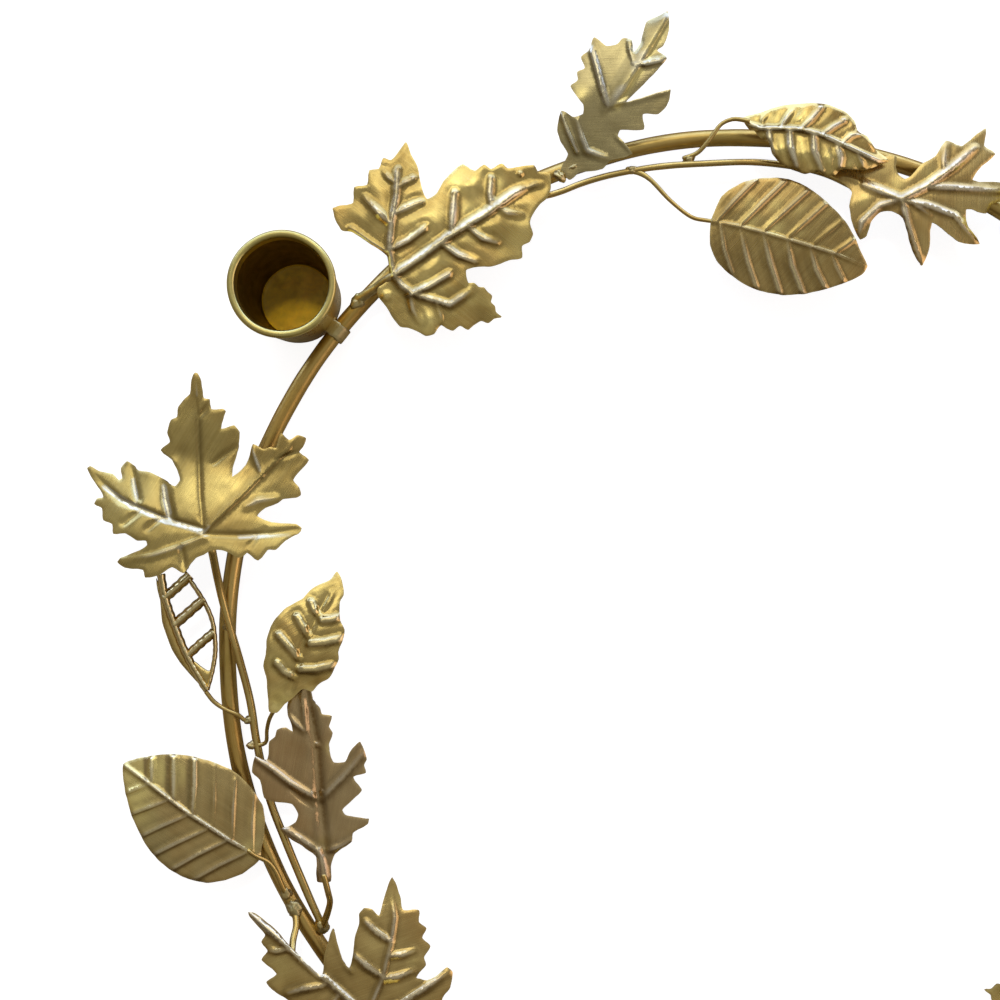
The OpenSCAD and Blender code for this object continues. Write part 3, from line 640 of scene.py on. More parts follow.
        # one winding, no slivers
        a, b, c = pts[tris[:, 0]], pts[tris[:, 1]], pts[tris[:, 2]]
        area = (b[:, 0] - a[:, 0]) * (c[:, 1] - a[:, 1]) - (b[:, 1] - a[:, 1]) * (c[:, 0] - a[:, 0])
        tris = tris[np.abs(area) > 1e-7]
        area = area[np.abs(area) > 1e-7]
        flip = area > 0
        tris[flip] = tris[flip][:, ::-1]
        used = np.unique(tris)
        remap = -np.ones(len(pts), int)
        remap[used] = np.arange(len(used))
        pts, tris = pts[used], remap[tris]
        n = len(pts)
        # boundary edges
        cnt = {}
        for t in tris:
            for i in range(3):
                e = (t[i], t[(i + 1) % 3])
                cnt[e] = cnt.get(e, 0) + 1
        border = [e for e in cnt if (e[1], e[0]) not in cnt]
        # heights
        z, up, down, foot = self.field(fine)(pts)
        edge = np.maximum(fine.read(fine.edge, pts), 0)
        top = spot(pts[:, 0], pts[:, 1], z)
        nrm = np.zeros_like(top)
        fa = np.cross(top[tris[:, 1]] - top[tris[:, 0]], top[tris[:, 2]] - top[tris[:, 0]])
        for i in range(3):
            np.add.at(nrm, tris[:, i], fa)
        nrm /= np.linalg.norm(nrm, axis=1)[:, None] + 1e-12
        if nrm[:, 2].mean() < 0:
            tris = tris[:, ::-1]
            border = [(b_, a_) for a_, b_ in border]
            nrm = -nrm
        low = top - nrm * self.thick
        ang = math.radians(self.grain)
        q = pts / 10 * 2.7
        ga = np.c_[q[:, 0] * math.cos(ang) - q[:, 1] * math.sin(ang),
                   q[:, 0] * math.sin(ang) + q[:, 1] * math.cos(ang), z]
        faces = [tuple(t) for t in tris] + [tuple(t[::-1] + n) for t in tris]
        faces += [(b_, a_, a_ + n, b_ + n) for a_, b_ in border]
        sharp = [(a_, b_) for a_, b_ in border] + [(a_ + n, b_ + n) for a_, b_ in border]
        mx = max(0.3, max([abs(r[0]) for r in self.ribs] or [1]))
        # crest: ribs count positive; creases count negative and are painted shaded, unless the crease shade is off,
        # when they count half positive and are painted pale, a painted highlight
        crest = np.clip(up / mx, 0, 1) - np.clip(-down / mx, 0, 1) * (1 if self.dark_creases else -0.5)
        # painted light and shade: the leaf's dabs of sheen and shade, less the painted shade on rib flanks that face
        # down and to the right
        shine = self.dabs(pts, self.lustre) - self.lee * self.shade(pts)
        # the rub dabs move the crest's pale: up where positive, a painted highlight over the wear, down where negative
        crest = np.clip(crest + self.dabs(pts, self.rubs), np.minimum(crest, 0), 1)
        shine = np.clip(shine, -1, 1)
        attrs = {
            "grain": np.vstack([ga, ga + 40]),
            "edge": np.r_[edge * 0.27, edge * 0.27],
            # the underside takes the crest negated, so under a rib it gets painted shade
            "crest": np.r_[crest, -crest],
            # painted shade at the rib feet, then the painted sheen and shade
            "foot": np.r_[foot, foot],
            "lustre": np.r_[shine, shine],
        }
        for k in (1, 2):
            at = dict(attrs)
            if k == 2:
                at["grain"] = attrs["grain"] + 300
            ob = make(f"leaf_{self.name}{k}", turn(np.vstack([top, low]), k), faces, [self.mat], at, sharp)
            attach(ob, "root")
            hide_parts(f"{self.name}{k}")


R = lambda pts, h=1.25, wl=6.5, wr=6.0, kind="tent": (h, wl, wr, pts, kind)

# Per leaf: the dabs of sheen and shade paint highlight where positive and shade where negative; the flank setting
# paints shade on rib flanks that face down and to the right; the rub dabs paint the ribs pale, partly wear and partly
# painted highlight; the crease setting chooses painted shade in the creases.
LEAVES = []

LEAVES.append(Leaf(
    "maple_a", [60.5, 12.8, 11.3, 0.45, -0.25, 0.02],
    [(668, 11), (669, 29), (664, 45), (657, 50), (667, 58), (659, 68), (640, 88), (626, 102),
     (671, 89), (667, 106), (658, 114), (643, 114), (644, 129), (620, 130), (618, 136), (633, 154),
     (610, 160), (603, 169), (590, 171), (579, 172), (569, 180), (561, 169), (568, 154), (561, 142),
     (557, 131), (561, 110), (573, 117), (583, 114), (583, 104), (570, 86), (578, 80), (577, 72),
     (585, 68), (581, 57), (589, 50), (594, 37), (606, 46), (617, 44), (623, 38), (632, 40),
     (634, 52), (641, 42), (646, 22), (660, 15)],
    [R([(606, 104, .8), (602, 92), (596, 68), (590, 47, .7)], 1.15, 2.6, 6.2),
     R([(612, 105, .7), (625, 87), (637, 67), (652, 42), (668, 14, .9)], .80, 15, 5),
     R([(634, 64, .9), (646, 64), (664, 60, .6)], 1.0, 6.5, 4),
     R([(633, 63, .9), (630, 50), (629, 40, .6)], .7, 3, 5),
     R([(610, 105, .6), (640, 97), (668, 90, .7)], .8, 3.5, 4),
     R([(561, 112, .8), (568, 132), (577, 152, .9)], .9, 3, 3.5),
     R([(577, 118, .5), (583, 138), (588, 150), (606, 157, .5)], .9, 3, 6.5),
     R([(617, 136, .6), (627, 146), (636, 156, .7)], .6, 3, 3)],
    lifts=[(600, 130, 30, -.4), (572, 160, 14, -.5), (585, 95, 18, .4), (574, 105, 12, .5)],
    grain=2, mat=M_GREY, slot="leaf_dull", pillow=.1, roll=.06,
    rubs=[(645, 40, 8, -.9), (655, 24, 8, -.9), (625, 76, 9, -.5), (594, 55, 605, 100, 3.0, .6)],
    lustre=[(658, 18, 10, -.9), (668, 20, 648, 56, 3.2, 1.0), (640, 70, 617, 106, 3.4, 1.0), (580, 95, 9, .5), (565, 125, 6, .4),
            (600, 140, 16, -.3), (640, 110, 14, -.2)]))

LEAVES.append(Leaf(
    "maple_b", [39.8, 27.2, 13, 0.10, -0.12, 0.015],
    [(406, 142), (411, 154), (417, 165), (422, 188), (427, 199), (437, 193), (444, 180), (455, 169),
     (463, 164), (475, 171), (484, 164), (491, 169), (502, 163), (508, 168), (534, 165), (538, 172),
     (550, 173), (551, 187), (547, 198), (540, 204), (533, 214), (530, 223), (533, 234), (530, 242), (522, 246),
     (522, 258), (510, 260), (495, 266), (479, 267), (466, 270), (468, 283), (474, 283), (479, 287), (484, 287),
     (488, 292), (492, 296), (491, 302), (495, 306), (496, 312), (502, 317), (494, 319), (488, 323), (481, 321),
     (474, 325), (468, 330), (460, 326), (453, 331), (446, 328), (441, 325), (434, 334), (426, 336), (418, 332),
     (408, 328), (400, 327), (393, 318), (387, 308), (378, 296), (378, 288), (386, 282), (389, 273),
     (387, 256), (370, 244), (352, 232), (341, 230), (332, 208), (353, 203), (354, 187), (367, 185),
     (369, 170), (379, 169), (383, 158), (391, 160), (400, 150)],
    [R([(394, 276, .9), (421, 258), (449, 237), (488, 213), (513, 195), (531, 185, .35)], 1.5, 8.5, 5),
     R([(393, 275, .9), (389, 250), (391, 225), (396, 197), (397, 172, .8)], 1.2, 5.5, 6),
     R([(452, 231), (453, 212), (454, 197, .8)], 1.15, 6, 7),
     R([(492, 207), (490, 193), (491, 180, .8)], 1.1, 5.5, 5.5),
     R([(390, 224, .8), (378, 212), (365, 198, .6)], 1.1, 5, 6),
     R([(389, 255, .8), (370, 243), (352, 229, .6)], 1.1, 6, 5),
     R([(393, 249, .8), (409, 241), (425, 229, .8)], 1.2, 7, 4),
     R([(393, 214, .8), (406, 208), (417, 203, .7)], 1.1, 6, 6),
     R([(397, 188, .8), (405, 182), (412, 179, .7)], .9, 5, 5),
     R([(395, 183, .7), (389, 178), (384, 172, .5)], .9, 4, 5),
     R([(444, 246, .8), (458, 256), (475, 262, .6)], 1.3, 8, 4),
     R([(470, 229, .8), (482, 239), (497, 243, .6)], 1.1, 6.5, 4),
     R([(498, 207, .7), (508, 213), (521, 215, .5)], .9, 5, 5),
     R([(526, 188, .7), (533, 185), (540, 184, .5)], .9, 5, 5),
     R([(393, 275, .9), (402, 286), (412, 293)], 1.1, 6, 6),
     R([(411, 295), (429, 287), (449, 275, .8)], 1.3, 7.5, 4.5),
     R([(412, 294), (430, 299), (450, 305), (460, 298), (470, 291, .5)], 1.1, 6, 5.5),
     R([(410, 296, .9), (413, 310), (419, 321, .4)], .9, 5, 5),
     R([(437, 305, .7), (441, 316), (442, 326, .3)], .7, 4, 5)],
    balls=[(398, 169, 4.0, .8), (413, 178, 4.0, .8), (455, 193, 4.4, .9), (491, 178, 4.0, .85),
           (520, 174, 3.2, .7), (421, 202, 4.0, .8), (387, 296, 6.0, .5)],
    lifts=[(445, 150, 26, -1.2), (430, 225, 22, .7), (515, 245, 18, -.5), (495, 225, 14, .5), (378, 215, 10, .9),
           (390, 300, 16, -.6), (350, 215, 22, -.6), (400, 155, 18, -.4), (530, 190, 26, -.7), (470, 285, 14, .4),
           (480, 322, 16, -.8), (430, 270, 10, .4), (470, 185, 9, .5), (430, 322, 10, .6)],
    grain=-38, mat=M_BRIGHT, slot="leaf_bright", pillow=.42, lee=.85,
    lustre=[(458, 178, 14, .75), (471, 211, 12, .6), (500, 182, 10, .4), (411, 224, 12, .4), (429, 281, 12, .6),
            (427, 323, 13, .7), (385, 292, 8, .6), (471, 294, 10, .5), (487, 302, 8, .4), (520, 237, 11, .3),
            (440, 215, 11, .3), (364, 205, 20, -.5), (398, 156, 17, -.5), (527, 176, 20, -.5),
            (482, 318, 12, -.5), (543, 202, 13, -.5), (396, 312, 9, -.6), (500, 262, 10, -.3)]))

LEAVES.append(Leaf(
    "wavy_c", [81, 13.5, 16, 0.25, 0.05, 0.06],
    [(742, 118), (762, 112), (776, 107), (792, 104), (812, 103), (830, 105), (846, 112), (855, 122),
     (858, 131), (868, 137), (876, 150), (889, 161), (880, 165), (865, 170), (848, 169), (840, 170),
     (835, 175), (823, 176), (815, 172), (805, 174), (792, 170), (779, 162), (772, 154), (769, 143),
     (760, 138), (754, 130), (749, 130)],
    [R([(744, 122, .5), (760, 128), (780, 128), (800, 129), (820, 134), (842, 144), (870, 157), (886, 164, .4)],
       1.15, 4, 4.2),
     R([(781, 128, .8), (786, 119), (792, 111, .7)], .95, 4, 4),
     R([(800, 130, .8), (811, 120), (821, 108, .7)], 1.0, 4.2, 4),
     R([(822, 135, .8), (833, 127), (844, 121, .7)], 1.0, 4.2, 4),
     R([(843, 143, .8), (851, 136), (862, 133, .6)], .95, 4, 4),
     R([(762, 127, .6), (763, 119), (768, 114, .3)], .6, 3.5, 3),
     R([(769, 131, .8), (770, 142), (774, 156, .6)], 1.1, 4.5, 5.5),
     R([(790, 132, .8), (791, 148), (797, 166, .6)], 1.2, 5, 6),
     R([(814, 136, .8), (815, 152), (822, 170, .6)], 1.2, 5, 6),
     R([(838, 147, .8), (841, 158), (840, 167, .6)], 1.1, 5, 5.5),
     R([(858, 155, .7), (862, 162), (864, 168, .5)], .8, 4, 4)],
    balls=[(821, 107, 3.2, 1.0), (844, 120, 3.2, 1.0)],
    lifts=[(805, 118, 14, .7), (780, 150, 9, .5), (803, 155, 9, .6), (830, 160, 9, .6),
           (850, 115, 20, -1.0), (880, 150, 20, -.8)],
    grain=62, mat=M_BRIGHT, slot="leaf_bright", roll=.35, pillow=.45, lee=.95,
    lustre=[(775, 119, 7, .5), (797, 117, 8, .5), (828, 124, 7, .5), (848, 132, 6, .4), (782, 148, 9, .5),
            (804, 154, 10, .5), (829, 160, 9, .5), (852, 162, 6, .4), (858, 122, 12, -.5), (765, 145, 7, -.4),
            (845, 108, 10, -.4)]))

LEAVES.append(Leaf(
    "oval_d", [78.5, 23.8, 13, 0, 0.02, 0.017],
    [(711, 220), (716, 208), (722, 196), (732, 188), (746, 181), (765, 178), (784, 178), (800, 183),
     (814, 191), (826, 201), (838, 213), (846, 222), (856, 239), (861, 252), (868, 266), (862, 275),
     (845, 283), (826, 289), (805, 294), (782, 295), (760, 291), (742, 283), (728, 273), (716, 260),
     (710, 244), (710, 230)],
    [R([(712, 221, .6), (738, 226), (762, 232), (787, 239), (810, 246), (836, 254), (866, 267, .3)],
       .55, 2.8, 3.2),
     R([(717, 221, .6), (735, 201), (757, 179, .9)], .66, 4.2, 2.6),
     R([(740, 226, .6), (763, 203), (786, 181, .9)], .70, 4.4, 2.6),
     R([(764, 231, .6), (786, 211), (809, 190, .9)], .58, 4.4, 2.6),
     R([(788, 238, .6), (808, 220), (827, 203, .9)], .52, 4.2, 2.6),
     R([(812, 246, .5), (830, 231), (845, 219, .6)], .34, 4, 2.6),
     R([(835, 253, .6), (846, 246), (856, 239, .9)], .52, 4.4, 2.6),
     R([(720, 224, .6), (724, 250), (733, 277, .9)], .8, 4.2, 8, "pinch"),
     R([(740, 229, .4), (747, 260), (757, 290)], .85, 4.4, 10, "pinch"),
     R([(763, 234, .4), (770, 262), (780, 294)], .9, 4.6, 11, "pinch"),
     R([(787, 241, .4), (792, 266), (803, 294)], .9, 4.6, 11, "pinch"),
     R([(810, 248, .4), (816, 270), (826, 290)], .85, 4.4, 10, "pinch"),
     R([(832, 256, .5), (837, 268), (843, 280)], .75, 4, 9, "pinch")],
    lifts=[(735, 200, 20, .3), (790, 270, 40, -.5)],
    hinges=[(712, 221, 868, 268, -.10, 6)],
    grain=48, mat=M_OVAL, slot="leaf_dull", pillow=.10, noise_h=.10, blur=.45, lee=.9,
    lustre=[(751, 203, 7, .35), (776, 205, 8, .4), (775, 228, 9, .6), (750, 222, 8, .5), (798, 208, 7, .25),
            (800, 232, 7, .3), (718, 250, 18, -.3), (730, 270, 16, -.4), (790, 280, 34, -.3),
            (850, 262, 14, -.3), (835, 230, 14, -.4), (724, 205, 8, -.5)]))

LEAVES.append(Leaf(
    "maple_e", [90.2, 20, 12, 0.10, 0.10, 0.03],
    [(897, 156), (896, 168), (899, 175), (905, 179), (913, 174), (922, 164), (936, 156), (946, 140),
     (962, 146), (986, 128), (984, 146), (996, 154), (982, 166), (972, 180), (994, 182), (1016, 186),
     (1006, 200), (992, 204), (986, 214), (966, 209), (968, 226), (980, 244), (960, 242), (946, 232),
     (932, 222), (930, 246), (922, 266), (912, 250), (907, 232), (903, 218), (892, 211), (880, 212),
     (871, 222), (867, 236), (860, 240), (853, 226), (849, 206), (852, 192), (843, 183), (832, 173),
     (842, 163), (868, 163), (882, 158), (890, 155)],
    [R([(864, 184, .6), (882, 191), (901, 199)], 1.25, 6, 6),
     R([(901, 199), (925, 187), (952, 168), (975, 148, .5)], 1.25, 6, 6),
     R([(903, 201, .9), (908, 225), (921, 262, .5)], 1.2, 5, 6),
     R([(903, 200, .9), (930, 206), (955, 216), (975, 240, .4)], 1.1, 6, 5),
     R([(925, 187, .9), (955, 188), (1000, 191, .5)], 1.1, 6, 5),
     R([(901, 199, .9), (880, 205), (862, 222), (858, 236, .5)], 1.0, 6, 5),
     R([(945, 174, .8), (944, 160), (946, 146, .5)], .9, 5, 5),
     R([(912, 203, .8), (920, 208), (930, 215, .5)], .8, 4, 4),
     R([(862, 184, .5), (850, 178), (840, 175, .2)], .4, 3, 4)],
    lifts=[(865, 200, 12, .4), (885, 180, 16, -.3), (845, 170, 14, .5)],
    grain=88, mat=M_WARM, slot="leaf_dull", pillow=.35, lee=.8,
    lustre=[(855, 167, 16, -.7), (930, 175, 10, .4), (898, 185, 8, .4), (865, 200, 8, .4), (915, 240, 10, -.4)]))

LEAVES.append(Leaf(
    "maple_f", [20.3, 52.8, 11.8, 0.0, -0.40, 0.018],
    [(195, 372), (198, 373), (201, 381), (203, 390), (204, 398), (210, 399), (211, 409), (223, 409), (226, 411), (221, 429),
     (234, 425), (240, 432), (238, 450), (232, 477), (246, 465), (251, 450), (253, 444), (263, 449),
     (270, 447), (276, 448), (281, 433), (289, 440), (297, 435), (306, 438), (303, 447), (299, 452),
     (309, 460), (301, 470), (293, 480), (299, 487), (301, 495), (296, 498), (283, 499), (278, 503),
     (265, 508), (257, 516), (268, 521), (280, 523), (296, 524), (302, 528), (299, 533), (285, 541),
     (276, 550), (268, 550), (258, 561), (247, 553), (244, 556), (238, 558), (230, 553), (222, 550),
     (212, 550), (204, 555), (196, 558), (190, 565), (183, 573), (172, 567), (160, 575), (145, 578),
     (143, 570), (125, 568), (117, 562), (120, 558), (140, 550), (147, 545), (146, 541), (137, 541),
     (131, 537), (125, 533), (113, 534), (112, 524), (103, 520), (102, 508), (94, 504), (97, 498),
     (103, 497), (100, 490), (92, 478), (87, 468), (90, 466), (100, 471), (113, 474), (119, 480),
     (122, 478), (121, 468), (127, 461), (133, 465), (138, 470), (150, 472), (162, 478), (170, 484),
     (175, 486), (180, 480), (177, 470), (172, 460), (160, 450), (170, 442), (167, 432), (171, 420),
     (177, 417), (178, 408), (183, 400), (190, 394), (191, 382), (193, 374)],
    [R([(196, 380, .4), (198, 425), (199, 460), (200, 495), (203, 527, .8)], -.5, 3, 3),
     R([(196, 380, .5), (197, 395, .9), (199, 415, .5)], .45, 3.5, 3.5),
     R([(205, 531, .8), (213, 523), (245, 493), (262, 475), (290, 448, .6)], .75, 18, 3, "pinch"),
     R([(206, 534, .8), (240, 535), (270, 533), (298, 529, .5)], -.55, 3, 5),
     R([(203, 528, .8), (165, 518), (140, 508), (120, 499), (94, 474, .1)], -.75, 6, 2.8),
     R([(205, 536, .7), (182, 545), (152, 555), (122, 560, .4)], .5, 6, 3),
     R([(199, 416), (211, 404, .6)], -.55, 4, 4),
     R([(214, 463), (224, 455), (236, 447, .6)], -.55, 4, 4),
     R([(137, 500), (134, 484), (132, 467, .5)], -.8, 4, 5),
     R([(169, 517), (165, 500), (163, 481, .6)], -1.0, 5, 8),
     R([(124, 524, .7), (134, 516), (142, 510, .8)], -.7, 5, 4),
     R([(148, 529, .7), (156, 522), (164, 517, .8)], -.7, 5, 4),
     R([(252, 448, .6), (256, 460), (262, 476, .9)], .7, 4, 4),
     R([(181, 549, .8), (183, 560), (184, 569, .5)], -.7, 4, 5),
     R([(160, 451, .5), (166, 456), (173, 461, .7)], .6, 3, 4),
     R([(276, 460, .6), (286, 456), (298, 452, .5)], -.4, 3, 3),
     R([(246, 506, .6), (258, 500), (276, 498, .6)], .6, 5, 7),
     R([(250, 545, .5), (258, 535), (266, 531, .6)], -.5, 4, 4)],
    lifts=[(120, 455, 30, -1.2), (130, 525, 28, .9), (275, 440, 30, .9), (285, 515, 24, -.4),
           (178, 452, 9, -.5), (150, 578, 24, .5)],
    hinges=[(100, 462, 300, 462, .86, 12)],
    grain=58, mat=M_MAPLE, slot="leaf_bright", cut=.8, pillow=.12, dark_creases=False,
    rubs=[(104, 487, 132, 505, 2.6, .8), (132, 505, 166, 521, 3.0, .9), (166, 521, 201, 532, 2.8, .8),
          (213, 524, 286, 452, 3.5, -.6), (198, 400, 203, 527, 3.0, -.4), (133, 480, 137, 497, 2.0, .5),
          (164, 487, 169, 512, 2.4, .6), (240, 538, 290, 536, 3.0, .4)],
    lustre=[(115, 484, 18, .3), (150, 490, 20, .35), (190, 495, 20, .45), (225, 492, 16, .3), (120, 528, 22, .35),
            (225, 552, 14, .3), (275, 530, 18, .3), (178, 440, 10, .2), (205, 400, 26, -.4), (285, 470, 26, -.4),
            (150, 566, 20, -.4), (230, 430, 20, -.35), (198, 440, 24, -.2), (290, 450, 20, -.3),
            (212, 524, 286, 452, 2.2, -1.0), (198, 425, 202, 500, 1.8, -.6), (276, 460, 298, 452, 1.6, -.8),
            (214, 463, 234, 449, 1.6, -.9), (133, 540, 190, 530, 10, -.2)]))

LEAVES.append(Leaf(
    "wavy_h", [30.4, 64.5, 15, 0.02, 0.25, 0.04],
    [(337, 571), (342, 580), (344, 595), (340, 602), (340, 620), (345, 630), (343, 641), (338, 652),
     (339, 659), (335, 668), (329, 678), (318, 685), (312, 692), (302, 689), (292, 699), (284, 705),
     (277, 713), (269, 712), (268, 700), (267, 685), (266, 676), (263, 666), (266, 654), (266, 640),
     (270, 628), (276, 618), (286, 608), (296, 602), (303, 598), (310, 590), (320, 584), (330, 580)],
    [R([(290, 690, .5), (297, 668), (303, 645), (310, 630), (318, 615), (328, 596, .5)], -.5, 5, 5, "round"),
     R([(298, 658, .7), (288, 646), (279, 635, .9)], .95, 5, 5.2, "flat"),
     R([(308, 636, .7), (302, 626), (297, 617, .9)], .95, 5, 5.2, "flat"),
     R([(319, 616, .7), (314, 610), (311, 602, .9)], .9, 4.6, 5, "flat"),
     R([(293, 677, .7), (284, 672), (277, 663, .9)], .9, 4.8, 5, "flat"),
     R([(322, 620, .8), (332, 619), (340, 616, .7)], .95, 5, 5.2, "flat"),
     R([(310, 643, .8), (325, 642), (341, 638, .7)], 1.05, 5.4, 6, "flat"),
     R([(299, 669, .8), (315, 669), (332, 665, .7)], 1.05, 5.4, 6, "flat"),
     R([(322, 611, .6), (328, 602), (333, 592, .4)], .6, 3.5, 3.5)],
    balls=[(311, 602, 4.2, .9), (297, 617, 4.4, .95), (279, 635, 4.4, .95), (277, 664, 4.2, .9)],
    lifts=[(276, 704, 10, -.9), (312, 686, 9, -.9), (336, 574, 8, -.3), (275, 645, 16, .3),
           (318, 655, 12, .35), (320, 630, 10, .35)],
    grain=28, mat=M_YELLOW, slot="leaf_dull", pillow=.3, lee=.7,
    lustre=[(275, 660, 12, .4), (280, 702, 11, 1.0), (322, 590, 12, .3), (325, 655, 8, -.4), (325, 630, 7, -.4),
            (300, 635, 10, -.3)]))

LEAVES.append(Leaf(
    "maple_i", [31.8, 79.5, 12.6, 0.25, -0.05, 0.01],
    [(299, 668), (310, 690), (312, 700), (320, 708), (322, 714), (332, 716), (329, 726), (333, 733),
     (329, 745), (333, 762), (345, 762), (350, 752), (360, 741), (367, 759), (364, 765), (366, 773),
     (353, 777), (362, 790), (350, 802), (342, 810), (345, 815), (369, 819), (368, 824), (353, 833),
     (352, 842), (335, 854), (331, 866), (331, 882), (317, 882), (316, 857), (302, 846), (286, 836),
     (280, 829), (288, 827), (296, 822), (298, 814), (292, 804), (273, 802), (264, 798), (260, 780),
     (252, 772), (255, 756), (267, 760), (269, 742), (275, 737), (277, 730), (286, 727), (293, 732),
     (288, 716), (287, 706), (289, 696), (293, 680)],
    [R([(304, 680, .5), (310, 712), (316, 745), (319, 795), (325, 850, .7)], -1.0, 6, 7),
     R([(303, 690, .5), (304, 710), (304, 730, .4)], .7, 5, 4),
     R([(288, 716, .8), (296, 724), (304, 731, .7)], .8, 4, 4),
     R([(253, 755, .7), (272, 769), (290, 783), (314, 797, .7)], 1.15, 5, 5),
     R([(290, 790, .7), (300, 799), (313, 808, .5)], -.5, 4, 3),
     R([(322, 798, .8), (342, 778), (363, 753, .6)], .95, 6.5, 6),
     R([(283, 828, .8), (300, 839), (318, 851, .8)], 1.15, 5.5, 5),
     R([(327, 851, .8), (340, 847), (351, 841, .7)], .9, 5, 4),
     R([(318, 852, .9), (322, 866), (324, 882, .8)], 1.3, 8, 7, "round")],
    balls=[(317, 745, 3.0, .8), (322, 792, 3.0, .8)],
    lifts=[(290, 755, 22, -.6), (325, 838, 9, .5), (340, 800, 22, -.3), (300, 700, 20, -.3)],
    grain=80, mat=M_BROWN, slot="leaf_dull", lee=.5,
    lustre=[(322, 845, 8, .4), (330, 748, 6, .4), (275, 765, 14, -.2), (350, 785, 12, -.15)]))

LEAVES.append(Leaf(
    "oval_j", [19.5, 81.6, 13, -0.05, 0.10, 0.04],
    [(123, 764), (132, 760), (149, 756), (170, 754), (190, 756), (210, 761), (230, 769), (241, 777),
     (253, 790), (262, 804), (265, 818), (264, 836), (261, 850), (260, 859), (252, 867), (242, 874),
     (226, 880), (206, 883), (188, 879), (172, 871), (158, 860), (147, 847), (138, 830), (132, 817),
     (127, 800), (123, 780)],
    [R([(125, 766, .6), (148, 783), (170, 800), (190, 815), (210, 828), (228, 840), (258, 857, .5)],
       .8, 3.3, 3.3),
     R([(151, 783, .6), (151, 770), (151, 757, .9)], .85, 6, 4.4, "pinch"),
     R([(173, 800, .6), (173, 778), (173, 756, .9)], .9, 7, 4.5, "pinch"),
     R([(192, 814, .6), (194, 785), (194, 758, .9)], .85, 7, 4.2, "pinch"),
     R([(213, 828, .4), (214, 800), (214, 763, .5)], .45, 7, 3, "pinch"),
     R([(232, 840, .5), (233, 810), (235, 780, .6)], .6, 8, 3, "pinch"),
     R([(252, 852, .5), (252, 825), (254, 793, .6)], .6, 8, 3, "pinch"),
     R([(147, 785, .6), (136, 789), (124, 794, .9)], .65, 3, 9, "pinch"),
     R([(166, 801, .6), (148, 808), (129, 815, .9)], .75, 3, 11, "pinch"),
     R([(186, 816, .6), (163, 826), (138, 838, .9)], .75, 3, 12, "pinch"),
     R([(206, 830, .6), (178, 843), (150, 857, .9)], .75, 3, 12, "pinch"),
     R([(227, 841, .6), (198, 855), (168, 872, .9)], .75, 3, 12, "pinch"),
     R([(246, 853, .6), (219, 866), (192, 881, .9)], .7, 3, 12, "pinch")],
    lifts=[(124, 744, 34, -1.4), (255, 830, 24, -.4), (200, 790, 40, .3)],
    hinges=[(125, 766, 258, 857, .10, 8)],
    grain=-32, mat=M_DULL, slot="leaf_dull", pillow=.10, blur=.45,
    lustre=[(146, 780, 146, 758, 1.7, -2.0), (168, 795, 168, 756, 1.9, -2.0), (189, 808, 189, 758, 1.8, -1.5),
            (210, 822, 211, 765, 1.5, -.5), (229, 832, 231, 785, 1.4, -.4),
            (152, 780, 152, 758, 1.3, 1.0), (174, 796, 174, 757, 1.3, 1.0), (194, 808, 194, 760, 1.3, .8),
            (140, 772, 22, 1.1), (132, 800, 15, .9), (165, 772, 15, .8), (184, 775, 12, .5), (142, 818, 14, .5),
            (250, 848, 8, .5), (257, 818, 9, .4), (225, 800, 26, -.15), (215, 868, 24, -.2)]))

